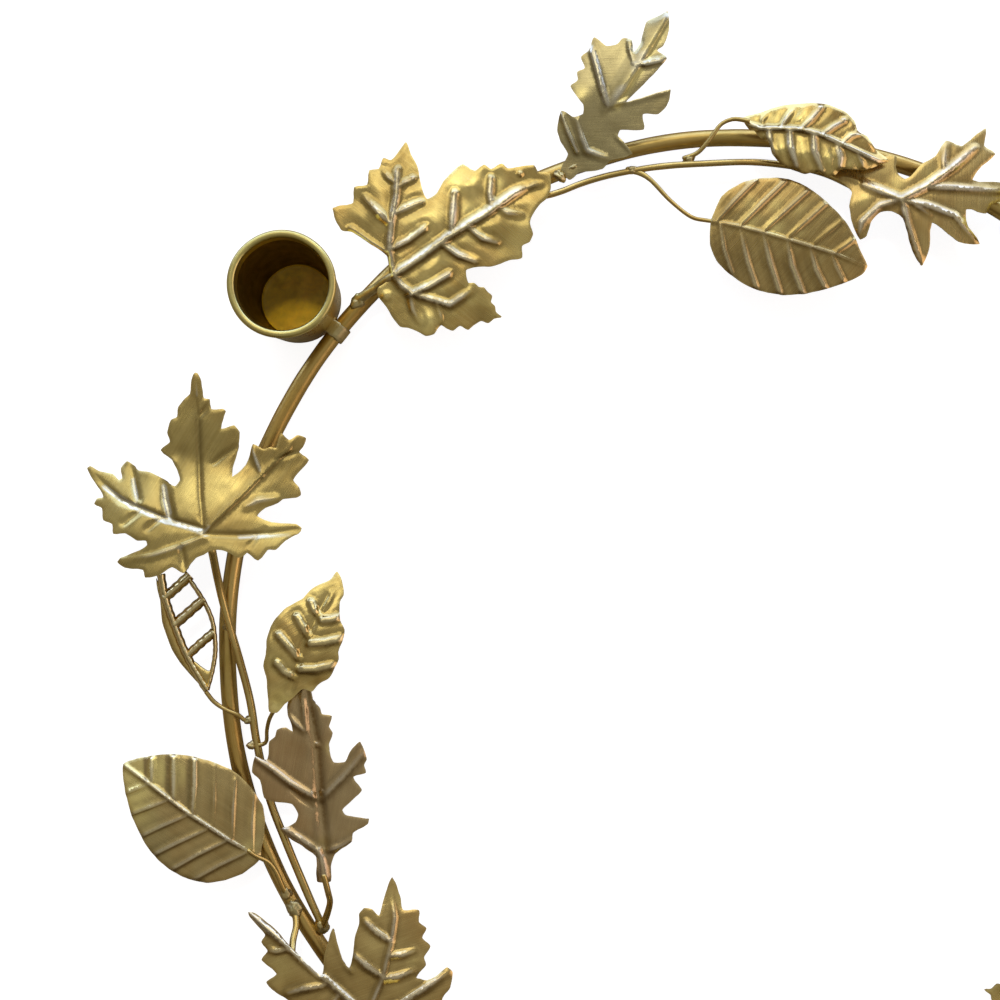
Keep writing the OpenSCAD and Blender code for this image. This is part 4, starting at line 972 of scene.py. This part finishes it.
LEAVES.append(Leaf(
    "maple_k", [36.2, 101.2, 15.2, 0.05, -0.05, 0.02],
    [(392, 877), (397, 886), (401, 900), (403, 910), (419, 910), (419, 922), (427, 928), (422, 938),
     (431, 946), (424, 957), (426, 965), (416, 978), (427, 980), (438, 975), (447, 967), (453, 972),
     (450, 988), (442, 999), (444, 1010), (424, 1018), (442, 1032), (454, 1054), (432, 1056), (424, 1066),
     (402, 1052), (388, 1054), (376, 1056), (364, 1052), (352, 1048), (340, 1070), (322, 1070), (308, 1062),
     (296, 1046), (306, 1032), (306, 1020), (288, 1000), (272, 990), (266, 982), (277, 974), (261, 960),
     (268, 951), (261, 942), (265, 935), (249, 916), (248, 912), (255, 913), (276, 930), (292, 948),
     (310, 966), (322, 976), (324, 958), (329, 938), (333, 928), (337, 942), (342, 958), (349, 968),
     (353, 952), (355, 936), (359, 924), (359, 914), (364, 908), (372, 909), (379, 916), (382, 904),
     (387, 889)],
    [R([(391, 890, .2), (395, 918), (391, 945), (387, 960), (383, 978), (372, 1004), (362, 1012)], .9, 4, 5),
     R([(366, 922, .6), (376, 932), (391, 942, .8)], 1.15, 5.5, 5.5),
     R([(354, 955, .6), (366, 966), (381, 976, .8)], 1.15, 5.5, 5.5),
     R([(391, 956, .8), (402, 955), (414, 951, .5)], 1.05, 5.5, 5.5),
     R([(383, 979, .8), (397, 977), (412, 971, .5)], 1.1, 5.5, 6),
     R([(250, 914, .6), (268, 929), (290, 948), (321, 975), (350, 1001), (362, 1012)], 1.3, 6, 6),
     R([(352, 972, .5), (348, 966), (338, 945, .4)], .8, 4, 4),
     R([(323, 986, .8), (305, 989), (288, 993, .6)], 1.0, 5, 5.5),
     R([(286, 950, .8), (276, 952), (265, 950, .5)], .9, 4, 5),
     R([(448, 972, .4), (425, 988), (400, 1004), (366, 1013)], 1.1, 6, 5),
     R([(362, 1013), (390, 1032), (430, 1048, .5)], 1.1, 6, 5),
     R([(360, 1013), (340, 1035), (320, 1062, .5)], 1.1, 6, 5),
     R([(340, 993, .7), (328, 1010), (312, 1028, .4)], .9, 5, 5)],
    lifts=[(372, 985, 18, -.5), (335, 985, 18, -.5), (300, 970, 24, .3), (405, 925, 20, .2),
           (395, 895, 16, -.5)],
    grain=20, mat=M_WARM, slot="leaf_dull", lee=.5,
    lustre=[(397, 900, 12, .4), (280, 968, 14, .35), (412, 960, 8, .25), (375, 945, 12, .15), (335, 975, 12, -.3),
            (410, 925, 14, -.25)]))

for leaf in LEAVES:
    leaf.build()


# ------------------------------------------------------------ swept rods
def sweep(name, path, radius, sides=16, closed=False, flat=None, caps=True, wobble=0.05, seed=1.0,
          attr_len=0.0):
    """A round rod along path (mm). radius is a number or one per point; flat
    gives the height share of the section at each point."""
    path = np.asarray(path, float)
    n = len(path)
    rad = np.full(n, float(radius)) if np.isscalar(radius) else np.asarray(radius, float)
    fl = np.ones(n) if flat is None else np.asarray(flat, float)
    if closed:
        tang = np.roll(path, -1, 0) - np.roll(path, 1, 0)
    else:
        tang = np.gradient(path, axis=0)
    tang /= np.linalg.norm(tang, axis=1)[:, None]
    side = np.cross(tang, [0, 0, 1.0])
    side /= np.linalg.norm(side, axis=1)[:, None]
    up = np.cross(side, tang)
    length = np.r_[0, np.cumsum(np.linalg.norm(np.diff(path, axis=0), axis=1))]
    verts, grain, crest, edge = [], [], [], []
    for j in range(sides):
        a = 2 * math.pi * j / sides
        off = math.cos(a) * side + math.sin(a) * up * fl[:, None]
        p = path + off * rad[:, None]
        verts.append(p)
        grain.append(np.c_[length, np.full(n, a * rad.mean() * 1.0), np.zeros(n)])
    verts = np.stack(verts, 1)
    w = np.array([ripple(verts[:, j], 5.0, seed) for j in range(sides)]).T
    verts = path[:, None] + (verts - path[:, None]) * (1 + wobble * w[..., None])
    grain = np.stack(grain, 1)
    verts, grain = verts.reshape(-1, 3), grain.reshape(-1, 3)
    edge = np.full(len(verts), 3.0)
    crest = np.zeros(len(verts))
    faces = []
    m = n if closed else n - 1
    for i in range(m):
        for j in range(sides):
            a, b = i * sides + j, i * sides + (j + 1) % sides
            c, d = ((i + 1) % n) * sides + (j + 1) % sides, ((i + 1) % n) * sides + j
            faces.append((a, b, c, d))
    if not closed and caps:
        for end, idx in ((0, 0), (1, n - 1)):
            ring = [idx * sides + j for j in range(sides)]
            prev, r0 = ring, rad[idx]
            t = tang[idx] * (1 if end else -1)
            for k in (0.5, 0.85):
                base = len(verts)
                new = []
                for j in range(sides):
                    v = verts[ring[j]] - path[idx]
                    new.append(path[idx] + v * math.sqrt(1 - k * k) + t * r0 * k * 0.8)
                verts = np.vstack([verts, new])
                grain = np.vstack([grain, grain[ring]])
                cur = list(range(base, base + sides))
                for j in range(sides):
                    q = (prev[j], prev[(j + 1) % sides], cur[(j + 1) % sides], cur[j])
                    faces.append(q if end else q[::-1])
                prev = cur
            verts = np.vstack([verts, [path[idx] + t * r0 * 0.85]])
            grain = np.vstack([grain, grain[ring[:1]]])
            tip = len(verts) - 1
            for j in range(sides):
                q = (prev[j], prev[(j + 1) % sides], tip)
                faces.append(q if end else q[::-1])
    extra = len(verts) - len(edge)
    edge = np.r_[edge, np.full(extra, 3.0)]
    crest = np.r_[crest, np.zeros(extra)]
    return verts, faces, {"grain": grain, "edge": edge, "crest": crest}


def join(parts):
    vs, fs, at, base = [], [], {}, 0
    for v, f, a in parts:
        vs.append(np.asarray(v))
        fs += [tuple(i + base for i in q) for q in f]
        base += len(v)
        for k, x in a.items():
            at.setdefault(k, []).append(np.asarray(x))
    return np.vstack(vs), fs, {k: np.concatenate(x) for k, x in at.items()}


def wire(name, pts, d, mat=None, slot="wire", step=0.8, sides=14, extra=(), wobble=0.05):
    """A drawn wire through pts (u, v, z, width share, height share)."""
    rows = []
    for p in pts:
        p = list(p) + [1.0, 1.0][len(p) - 3:] if len(p) < 5 else list(p)
        xyz = spot(p[0], p[1], p[2])
        rows.append([*xyz, p[3], p[4]])
    line = curve_through(rows, 12)
    seg = np.r_[0, np.cumsum(np.linalg.norm(np.diff(line[:, :3], axis=0), axis=1))]
    m = max(8, int(seg[-1] / step))
    t = np.linspace(0, seg[-1], m)
    line = np.stack([np.interp(t, seg, line[:, k]) for k in range(5)], 1)
    line[:, 0] += 0.07 * ripple(line[:, :3], 9.0, 2.2)
    line[:, 1] += 0.07 * ripple(line[:, :3], 9.0, 5.2)
    parts = [sweep(name, line[:, :3], d / 2 * line[:, 3], sides, flat=line[:, 4] / line[:, 3], wobble=wobble)]
    parts += list(extra)
    v, f, a = join(parts)
    for k in (1, 2):
        ob = make(f"{name}{k}_wire", turn(v, k), f, [mat or M_WIRE], a)
        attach(ob, "root")
        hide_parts(f"{name}{k}")


def blob(centre, size, seed=0.0, rough=0.18, rings=14, sides=20, axis=0.0):
    """A lump of braze: an uneven ball, longer along axis (degrees)."""
    c, s = math.cos(math.radians(axis)), math.sin(math.radians(axis))
    verts = []
    for i in range(rings + 1):
        th = math.pi * i / rings
        for j in range(sides):
            ph = 2 * math.pi * j / sides
            d = np.array([math.sin(th) * math.cos(ph), math.sin(th) * math.sin(ph), math.cos(th)])
            k = 1 + rough * noise.noise(Vector(d * 1.6) + Vector((seed, seed * 2, -seed))) \
                + 0.4 * rough * noise.noise(Vector(d * 4.0) + Vector((seed, 3, seed)))
            p = d * np.array(size) * k
            verts.append([centre[0] + p[0] * c - p[1] * s, centre[1] + p[0] * s + p[1] * c, centre[2] + p[2]])
    faces = []
    for i in range(rings):
        for j in range(sides):
            a, b = i * sides + j, i * sides + (j + 1) % sides
            c_, d_ = b + sides, a + sides
            if i == 0:
                faces.append((a, d_, c_))
            elif i == rings - 1:
                faces.append((a, d_, b))
            else:
                faces.append((a, d_, c_, b))
    verts = np.array(verts)
    # one vertex at each pole
    keep = [0] + list(range(sides, rings * sides)) + [rings * sides]
    remap = np.zeros(len(verts), int)
    remap[:sides] = 0
    for i in range(sides, rings * sides):
        remap[i] = i - sides + 1
    remap[rings * sides:] = rings * sides - sides + 1
    faces = [tuple(dict.fromkeys(int(remap[i]) for i in f)) for f in faces]
    verts = verts[keep]
    n = len(verts)
    return verts, faces, {"grain": verts * 1.0, "edge": np.full(n, 3.0), "crest": np.zeros(n)}


# ----------------------------------------------------------------- the hoop
def hoop():
    n = 900
    t = np.arange(n) / n * 2 * math.pi
    bow = 0.22 * np.sin(5 * t + 0.7) + 0.14 * np.sin(11 * t + 2.0) + 0.06 * np.sin(23 * t)
    r = HOOP_R + bow
    z = ROD_Z + 0.10 * np.sin(3 * t + 1) + 0.05 * np.sin(13 * t)
    path = np.c_[r * np.cos(t), r * np.sin(t), z]
    rad = ROD_R * (1 + 0.012 * np.sin(17 * t) + 0.01 * np.sin(41 * t + 1))
    v, f, a = sweep("hoop", path, rad, 28, closed=True, wobble=0.012)
    ob = make("hoop_rod", v, f, [M_ROD], a)
    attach(ob, "root")
    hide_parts("hoop")


hoop()


# ------------------------------------------------------------------ the cups
def lathe(profile, n=128):
    profile = np.asarray(profile, float)
    verts, grain, edge = [], [], []
    length = np.r_[0, np.cumsum(np.linalg.norm(np.diff(profile, axis=0), axis=1))]
    rows = []
    for i, (r, z) in enumerate(profile):
        if r < 1e-6:
            rows.append([len(verts)])
            verts.append([0, 0, z])
            grain.append([0, length[i], 0])
            edge.append(3)
            continue
        row = []
        for j in range(n):
            a = 2 * math.pi * j / n
            row.append(len(verts))
            verts.append([r * math.cos(a), r * math.sin(a), z])
            grain.append([math.cos(a) * 30, length[i], math.sin(a) * 30])
            edge.append(3)
        rows.append(row)
    faces = []
    for a, b in zip(rows[:-1], rows[1:]):
        for j in range(n):
            k = (j + 1) % n
            if len(a) == 1:
                faces.append((a[0], b[k], b[j]))
            elif len(b) == 1:
                faces.append((a[j], a[k], b[0]))
            else:
                faces.append((a[j], a[k], b[k], b[j]))
    return np.array(verts), faces, np.array(grain), np.array(edge, float)


def cups():
    lip = []
    cr, cz, tr = 12.62, 27.75, 0.98
    for i in range(15):
        a = math.radians(-50 + 250 * i / 14)
        lip.append([cr + tr * math.cos(a), cz + tr * 0.85 * math.sin(a)])
    outer = [[0, 0.3], [6, 0.28], [9.5, 0.2], [10.6, 0.02], [11.1, 0.1], [11.42, 0.5], [11.5, 1.2],
             [11.62, 3], [11.8, 6], [12.0, 9], [12.2, 12], [12.38, 15], [12.56, 18], [12.74, 21],
             [12.9, 24], [12.98, 25.6], [13.02, 26.4]]
    inner = [[11.62, 26.6], [11.55, 25.2], [11.5, 23], [11.48, 19], [11.42, 15.4], [11.15, 12.5],
             [10.85, 9], [10.5, 5.5], [10.2, 3.2], [10.05, 2.3], [9.75, 1.65], [9.3, 1.35], [8.6, 1.28],
             [5, 1.22], [2.5, 1.2], [0, 1.2]]
    v, f, g, e = lathe(outer + lip + inner)
    zmid = v[:, 2]
    rad = np.hypot(v[:, 0], v[:, 1])
    # inner wall faces take the darkened inside material, painted shade; floor faces take the floor material
    slots = [int(all(rad[i] < 11.56 for i in q) and min(zmid[i] for i in q) > 1.0) for q in f]
    slots = [2 if k and all(rad[i] < 9.8 for i in q) else k for q, k in zip(f, slots)]
    a = np.arctan2(v[:, 1], v[:, 0])
    r = np.hypot(v[:, 0], v[:, 1])
    for k in range(4):
        ang = math.radians(CUP_ANGLE + 90 * k)
        w = v.copy()
        # hand-made: a touch out of round, wavy lip
        dr = 0.07 * np.sin(2 * a + k) + 0.04 * np.sin(5 * a + 2 * k)
        dz = 0.06 * np.sin(3 * a + 1.3 * k) * smooth(20, 28, v[:, 2])
        keep = smooth(0, 10, r)
        w[:, 0] += np.cos(a) * dr * keep
        w[:, 1] += np.sin(a) * dr * keep
        w[:, 2] += dz
        x = w[:, 0] * math.cos(ang) - w[:, 1] * math.sin(ang) + CUP_R * math.cos(ang)
        y = w[:, 0] * math.sin(ang) + w[:, 1] * math.cos(ang) + CUP_R * math.sin(ang)
        ob = make(f"candle_cup_{k + 1}", np.c_[x, y, w[:, 2]], f, [M_CUP, M_CUP_IN, M_CUP_FLOOR],
                  {"grain": np.c_[g[:, 1], g[:, 0] * 1.0, g[:, 2]] + 50 * k, "edge": e, "crest": 0 * e}, slots=slots)
        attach(ob, "root")
        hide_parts(f"cup_{k + 1}")


cups()


def saddles():
    """A strap of sheet from the wall of each cup over the rod, with braze."""
    line = [[141.2, 6.9], [139.9, 7.25], [138.6, 7.5], [137.4, 7.62], [136.6, 7.6], [135.8, 7.35],
            [135.1, 6.8], [134.6, 6.0], [134.4, 5.0]]
    line = curve_through(line, 5)
    t = np.gradient(line, axis=0)
    t /= np.linalg.norm(t, axis=1)[:, None]
    nrm = np.c_[t[:, 1], -t[:, 0]]
    if nrm[5, 1] < 0:
        nrm = -nrm
    w = 2.1
    sect = []
    for s, h in ((-1, -.45), (-1, .1), (-.93, .38), (-.8, .45), (-.4, .47), (0, .48), (.4, .47), (.8, .45),
                 (.93, .38), (1, .1), (1, -.45), (.5, -.45), (0, -.45), (-.5, -.45)):
        sect.append((s * w, h))
    k = len(sect)
    verts, grain = [], []
    for i in range(len(line)):
        for s, h in sect:
            p = line[i] + nrm[i] * h
            wob = 0.08 * noise.noise(Vector((i * .35, s, 1)))
            verts.append([p[0], s * (1 + 0.05 * math.sin(i * .5)) + wob, p[1] + wob])
            grain.append([s, i * 0.4, 0])
    faces = []
    for i in range(len(line) - 1):
        for j in range(k):
            a, b = i * k + j, i * k + (j + 1) % k
            faces.append((a, b, b + k, a + k))
    faces.append(tuple(range(k))[::-1])
    faces.append(tuple((len(line) - 1) * k + j for j in range(k)))
    verts = np.array(verts)
    strap = (verts, faces, {"grain": np.array(grain), "edge": np.full(len(verts), 1.2), "crest": np.zeros(len(verts))})
    b1 = blob((139.9, 0.2, 7.0), (1.1, 2.3, 0.9), 3.0, 0.3)
    b2 = blob((139.7, -1.9, 5.6), (1.0, 1.0, 1.4), 5.0, 0.3)
    v, f, a = join([strap, b1, b2])
    f = [tuple(q[::-1]) if i < len(faces) else q for i, q in enumerate(f)]
    for n in range(4):
        ang = math.radians(CUP_ANGLE + 90 * n)
        x = v[:, 0] * math.cos(ang) - v[:, 1] * math.sin(ang)
        y = v[:, 0] * math.sin(ang) + v[:, 1] * math.cos(ang)
        ob = make(f"cup_strap_{n + 1}", np.c_[x, y, v[:, 2]], f, [M_BRAZE], a)
        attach(ob, "root")
        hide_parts(f"saddle_{n + 1}")


saddles()

# ----------------------------------------------------------------- the wires
TOP = ROD_Z + ROD_R
wire("branch_top", [(522, 196, 7.2), (544, 196, 7.6), (562, 191, 7.6), (580, 184, 7.8), (605, 176.5, 8),
                    (632, 171, 8), (660, 166.5, 8), (700, 163.6, 8), (760, 162.5, 8), (820, 172, 8),
                    (864, 192, 8.6), (892, 202, 11, .8)], 1.7)
wire("branch_side", [(212, 550, 16.6), (218, 580, 11.4), (224, 606, 9.0), (238, 655, 8.0), (250, 700, 7.2),
                     (257, 744, 7), (269, 797, 6.8), (286, 842, 6.4), (306, 890, 6.0), (323, 928, 5.6, .9)],
     2.15, wobble=0.03)
wire("stem_b", [(356, 303, 6.4, 1.1), (362, 297, 7.6, 1.25, .8), (376, 288, 9.6, 1.15, .8), (388, 279, 12, 1.1),
                (396, 274, 12.6, .9)], 2.0, mat=M_BRAZE, wobble=0.12)
wire("stem_c", [(684, 158, 7.8), (697, 153, 8.6), (706, 144, 9.6), (714, 133, 10.4), (722, 123.5, 11),
                (734, 119, 11.8), (748, 121, 13)], 1.15)
wire("stem_d", [(628, 170, 8.0, 1.7), (640, 173, 8.1, 1.5), (652, 181, 8.4, 1.15), (670, 200, 8.8), (690, 216, 9.4),
                (705, 220, 9.8), (724, 222, 11.2)], 1.1)
wire("stem_g", [(206, 692, 9.2), (214, 702, 8.8), (226, 710, 8.6), (238, 715, 8.2), (244, 720, 7.6),
                (250, 721, 7.2)], 1.15)
wire("stem_h", [(277, 706, 13.0, .9), (270, 718, 11.2, .9), (267, 730, 9.2, .9), (266, 742, 7.8, .9), (258, 745, 7.4),
                (250, 745, 7.2)], 1.2)
wire("stem_i", [(324, 876, 12.2, 1.1), (328, 892, 11, 1.1), (330, 902, 9.2, 1.1), (327, 914, 7.6, 1.2),
                (322, 926, 6.2, 1.3)], 1.5)
wire("stem_j", [(249, 851, 11.6, .9), (256, 856, 10.8), (268, 862, 9.2, 1.1), (276, 872, 8.2, 1.1),
                (283, 888, 7.4, 1.2), (289, 898, 6.6, 1.6, .8), (294, 908, 6.2, 1.7, .8)], 1.25)
wire("stem_k", [(291, 902, 6.6, 1.3), (295, 914, 7.2, 1.3), (296, 926, 8.6, 1.2), (293, 940, 10.4, 1.2),
                (292, 952, 12.2, 1.2)], 1.5)


def beads():
    spots = [((524, 192, TOP - .6), (1.6, 1.3, 1.2), 30), ((359, 301, TOP - .6), (2.6, 1.9, 1.5), 45),
             ((689, 159, TOP + .2), (1.7, 1.2, 1.3), 20), ((228, 626, TOP - .2), (1.5, 1.3, 1.3), 80),
             ((286, 893, TOP - .7), (1.9, 1.5, 1.4), 300), ((295, 908, TOP - .9), (2.6, 2.2, 1.9), 300),
             ((574, 168, TOP - .4), (1.9, 1.5, 1.4), 20), ((322, 926, 5.6), (2.1, 1.9, 1.6), 290),
             ((252, 745, 7.2), (1.4, 1.1, 1.1), 10), ((249, 720, 7.2), (1.3, 1.1, 1.1), 10),
             ((632, 170, 7.9), (1.6, 1.1, 1.1), 10), ((560, 176, 7.8), (1.8, 1.2, 1.2), 130)]
    parts = [blob(tuple(spot(*p)), s, 1.7 * i, 0.32, axis=ax) for i, (p, s, ax) in enumerate(spots)]
    v, f, a = join(parts)
    for k in (1, 2):
        ob = make(f"braze_{k}", turn(v, k), f, [M_BRAZE], a)
        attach(ob, "root")
        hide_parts(f"beads_{k}")


beads()


# ------------------------------------------------------- the openwork leaf
def open_leaf():
    """Pressed frame with windows: side bars, tip panel and narrow blade."""
    t = 0.55
    form = dict(z0=9.2)
    base = np.array([206.0, 692.0])

    def zz(u, v):
        # leans: the left side is low, the right side high
        return 9.4 + (692 - v) / 10 * 0.02 + (u - 165 - (v - 578) * 0.33) / 10 * 0.10

    bars = [
        ([(161, 574), (165, 597), (174, 624), (187, 656), (207, 690)], 4.2, 1.2),
        ([(187, 576), (203, 600), (212, 620), (215, 640), (215, 655), (212, 672), (207, 690)], 2.4, .8),
        ([(163, 599), (176, 588), (190, 575)], 5.2, 1.3),
        ([(173, 626), (188, 613), (204, 599)], 5.2, 1.3),
        ([(186, 657), (200, 644), (214, 632)], 4.6, 1.1),
    ]
    blade = [(156, 578), (163, 600), (171, 624), (185, 657), (205, 690), (195, 680), (181, 664), (172, 650),
             (167, 637), (162, 622), (160, 600)]
    tip = [(207, 691), (196, 671), (190, 659), (200, 666), (208, 671), (213, 669), (212, 676)]
    return zz, bars, blade, tip


def open_parts():
    zz, bars, blade, tip = open_leaf()
    parts = []
    for pts, w, h in bars:
        line = curve_through([(*p, 1) for p in pts], 8)[:, :2]
        line = resample(line, 1.6)
        n = len(line)
        tng = np.gradient(line, axis=0)
        nr = np.c_[-tng[:, 1], tng[:, 0]] / np.linalg.norm(tng, axis=1)[:, None]
        # pressed channel section: (across, height)
        sec = [(-1, -.3), (-1, 0), (-.55, .55), (-.15, .95), (.15, .95), (.55, .55), (1, 0), (1, -.3), (.4, .1), (-.4, .1)]
        k = len(sec)
        verts, grain = [], []
        length = np.r_[0, np.cumsum(np.linalg.norm(np.diff(line, axis=0), axis=1))] * .27
        for i in range(n):
            ends = 1.0
            for s, hh in sec:
                q = line[i] + nr[i] * s * w * ends * (1 + .06 * math.sin(i * .9))
                z = zz(*line[i]) + hh * h + 0.04 * math.sin(i * 1.3 + s)
                verts.append(spot(q[0], q[1], z))
                grain.append([length[i], s, 0])
        faces = []
        for i in range(n - 1):
            for j in range(k):
                a, b = i * k + j, i * k + (j + 1) % k
                faces.append((a, a + k, b + k, b))
        faces.append(tuple(range(k)))
        faces.append(tuple((n - 1) * k + j for j in range(k))[::-1])
        # crest marks: the channel's top as crest, pale with wear and painted highlight; its underside negative,
        # painted shade
        parts.append((np.array(verts), faces, {"grain": np.array(grain), "edge": np.full(len(verts), .6),
                                               "crest": np.tile([0, 0, .5, 1, 1, .5, 0, 0, -.5, -.5], n)}))
    for poly, dz in ((blade, -.3), (tip, .15)):
        rim = resample(soften_outline(poly, .8), 1.6, True)
        lo, hi = rim.min(0), rim.max(0)
        gx, gy = np.meshgrid(np.arange(lo[0], hi[0], 1.8), np.arange(lo[1], hi[1], 1.6))
        grid = np.c_[gx.ravel(), gy.ravel()]
        grid = grid[inside(rim, grid)]
        grid = grid[along(grid, rim, True)[0] > .9]
        res = delaunay_2d_cdt([Vector(p) for p in np.vstack([rim, grid])], [], [list(range(len(rim)))], 1, 1e-4)
        pts = np.array([tuple(v) for v in res[0]])
        tris = [tuple(f) for f in res[2]]
        d = along(pts, rim, True)[0]
        z = np.array([zz(*p) for p in pts]) + dz + .35 * smooth(0, 4, d) + .05 * ripple(np.c_[pts, 0 * d], 6, 2)
        top = spot(pts[:, 0], pts[:, 1], z)
        low = top - np.array([0, 0, .5])
        n = len(pts)
        cnt = {}
        fixed = []
        for f in tris:
            a, b, c = (pts[i] for i in f)
            ar = (b[0] - a[0]) * (c[1] - a[1]) - (b[1] - a[1]) * (c[0] - a[0])
            fixed.append(f if ar < 0 else f[::-1])
        for f in fixed:
            for i in range(3):
                cnt[(f[i], f[(i + 1) % 3])] = 1
        border = [e for e in cnt if (e[1], e[0]) not in cnt]
        faces = fixed + [tuple(i + n for i in f[::-1]) for f in fixed] + [(b, a, a + n, b + n) for a, b in border]
        g = np.c_[pts * .27, z]
        parts.append((np.vstack([top, low]), faces, {"grain": np.vstack([g, g]), "edge": np.r_[d, d] * .27,
                                                     "crest": np.zeros(2 * n)}))
    v, f, a = join(parts)
    for k in (1, 2):
        ob = make(f"leaf_open_g{k}", turn(v, k), f, [M_YELLOW], a)
        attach(ob, "root")
        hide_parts(f"open_g{k}")


open_parts()


# -------------------------------------------------------------- floor, light
def floor():
    me = bpy.data.meshes.new("floor")
    r = 4.0
    n = 96
    vs = [(r * math.cos(2 * math.pi * i / n), r * math.sin(2 * math.pi * i / n), 0) for i in range(n)]
    me.from_pydata(vs, [], [list(range(n))])
    ob = bpy.data.objects.new("floor", me)
    bpy.context.scene.collection.objects.link(ob)
    m = bpy.data.materials.new("floor_white")
    m.use_nodes = True
    nt = m.node_tree
    b = nt.nodes["Principled BSDF"]
    b.inputs["Base Color"].default_value = (0.40, 0.37, 0.32, 1)
    b.inputs["Roughness"].default_value = 0.9
    b.inputs["Specular IOR Level"].default_value = 0.0
    # the paper sweep is lit from behind: it reads white, but adds no glow
    b.inputs["Emission Color"].default_value = (1, 1, 1, 1)
    lp = node(nt, "ShaderNodeLightPath")
    nt.links.new(math_node(nt, "MULTIPLY", lp.outputs["Is Camera Ray"], 0.88), b.inputs["Emission Strength"])
    me.materials.append(m)


floor()


def area(name, azimuth, zenith, distance, size, radiance, colour):
    """A softbox aimed at the ring: direction in degrees, size in metres,
    radiance in scene units."""
    az, ze = math.radians(azimuth), math.radians(zenith)
    d = Vector((math.sin(ze) * math.cos(az), math.sin(ze) * math.sin(az), math.cos(ze)))
    li = bpy.data.lights.new(name, "AREA")
    li.shape = "RECTANGLE"
    li.size, li.size_y = size
    li.energy = radiance * math.pi * size[0] * size[1]
    li.color = colour
    ob = bpy.data.objects.new(name, li)
    ob.location = d * distance
    ob.rotation_euler = d.to_track_quat("Z", "Y").to_euler()
    ob.visible_camera = False
    bpy.context.scene.collection.objects.link(ob)
    return ob


area("skylight", 100, 38, 1.6, (1.5, 0.85), 0.82, (1.0, 1.0, 0.98))
area("pane_left", 108, 30, 1.55, (0.50, 0.30), 0.85, (1.0, 0.99, 0.95))
area("pane_right", 74, 42, 1.55, (0.46, 0.32), 0.85, (1.0, 0.99, 0.95))
area("window", 90, 71, 1.7, (5.4, 1.0), 3.5, (0.42, 0.55, 1.0))
area("wall", -5, 64, 1.7, (1.6, 1.0), 1.4, (0.96, 0.76, 0.84))
area("lamp", 101, 28, 1.6, (0.16, 0.16), 72.0, (1.0, 0.95, 0.86)).visible_glossy = False

world = bpy.data.worlds.new("studio")
bpy.context.scene.world = world
world.use_nodes = True
wt = world.node_tree
wt.nodes.clear()
wo = node(wt, "ShaderNodeOutputWorld")
bg = node(wt, "ShaderNodeBackground")
wt.links.new(bg.outputs[0], wo.inputs[0])
wc = node(wt, "ShaderNodeTexCoord")
dp = node(wt, "ShaderNodeVectorMath", operation="DOT_PRODUCT")
wt.links.new(wc.outputs["Generated"], dp.inputs[0])
dp.inputs[1].default_value = Vector((0.12, 0.55, 0.78)).normalized()
mr = map_range(wt, dp.outputs["Value"], -0.5, 1.0, 0.0, 1.0)
ramp = node(wt, "ShaderNodeValToRGB")
ramp.color_ramp.elements[0].color = (0.075, 0.055, 0.034, 1)
ramp.color_ramp.elements[1].color = (0.44, 0.445, 0.49, 1)
e1 = ramp.color_ramp.elements.new(0.22)
e1.color = (0.135, 0.110, 0.082, 1)
e2 = ramp.color_ramp.elements.new(0.55)
e2.color = (0.295, 0.28, 0.265, 1)
e3 = ramp.color_ramp.elements.new(0.84)
e3.color = (0.395, 0.395, 0.42, 1)
wt.links.new(mr, ramp.inputs[0])
wt.links.new(ramp.outputs[0], bg.inputs[0])
room = node(wt, "ShaderNodeTexNoise")
room.inputs["Scale"].default_value = 2.4
room.inputs["Detail"].default_value = 1.5
wt.links.new(wc.outputs["Generated"], room.inputs["Vector"])
wt.links.new(map_range(wt, room.outputs["Fac"], 0.35, 0.65, 0.72, 1.28), bg.inputs[1])

# ------------------------------------------------------------------- camera
cam = bpy.data.cameras.new("camera")
cam.sensor_width = 36.0
cam.lens = 45.68
cam.clip_start = 0.02
co = bpy.data.objects.new("camera", cam)
co.location = (VIEW_X / 1000, VIEW_Y / 1000, VIEW_H / 1000)
co.rotation_euler = (0, 0, 0)
bpy.context.scene.collection.objects.link(co)
bpy.context.scene.camera = co
bpy.context.scene.view_settings.view_transform = "Standard"
bpy.context.scene.view_settings.look = "None"
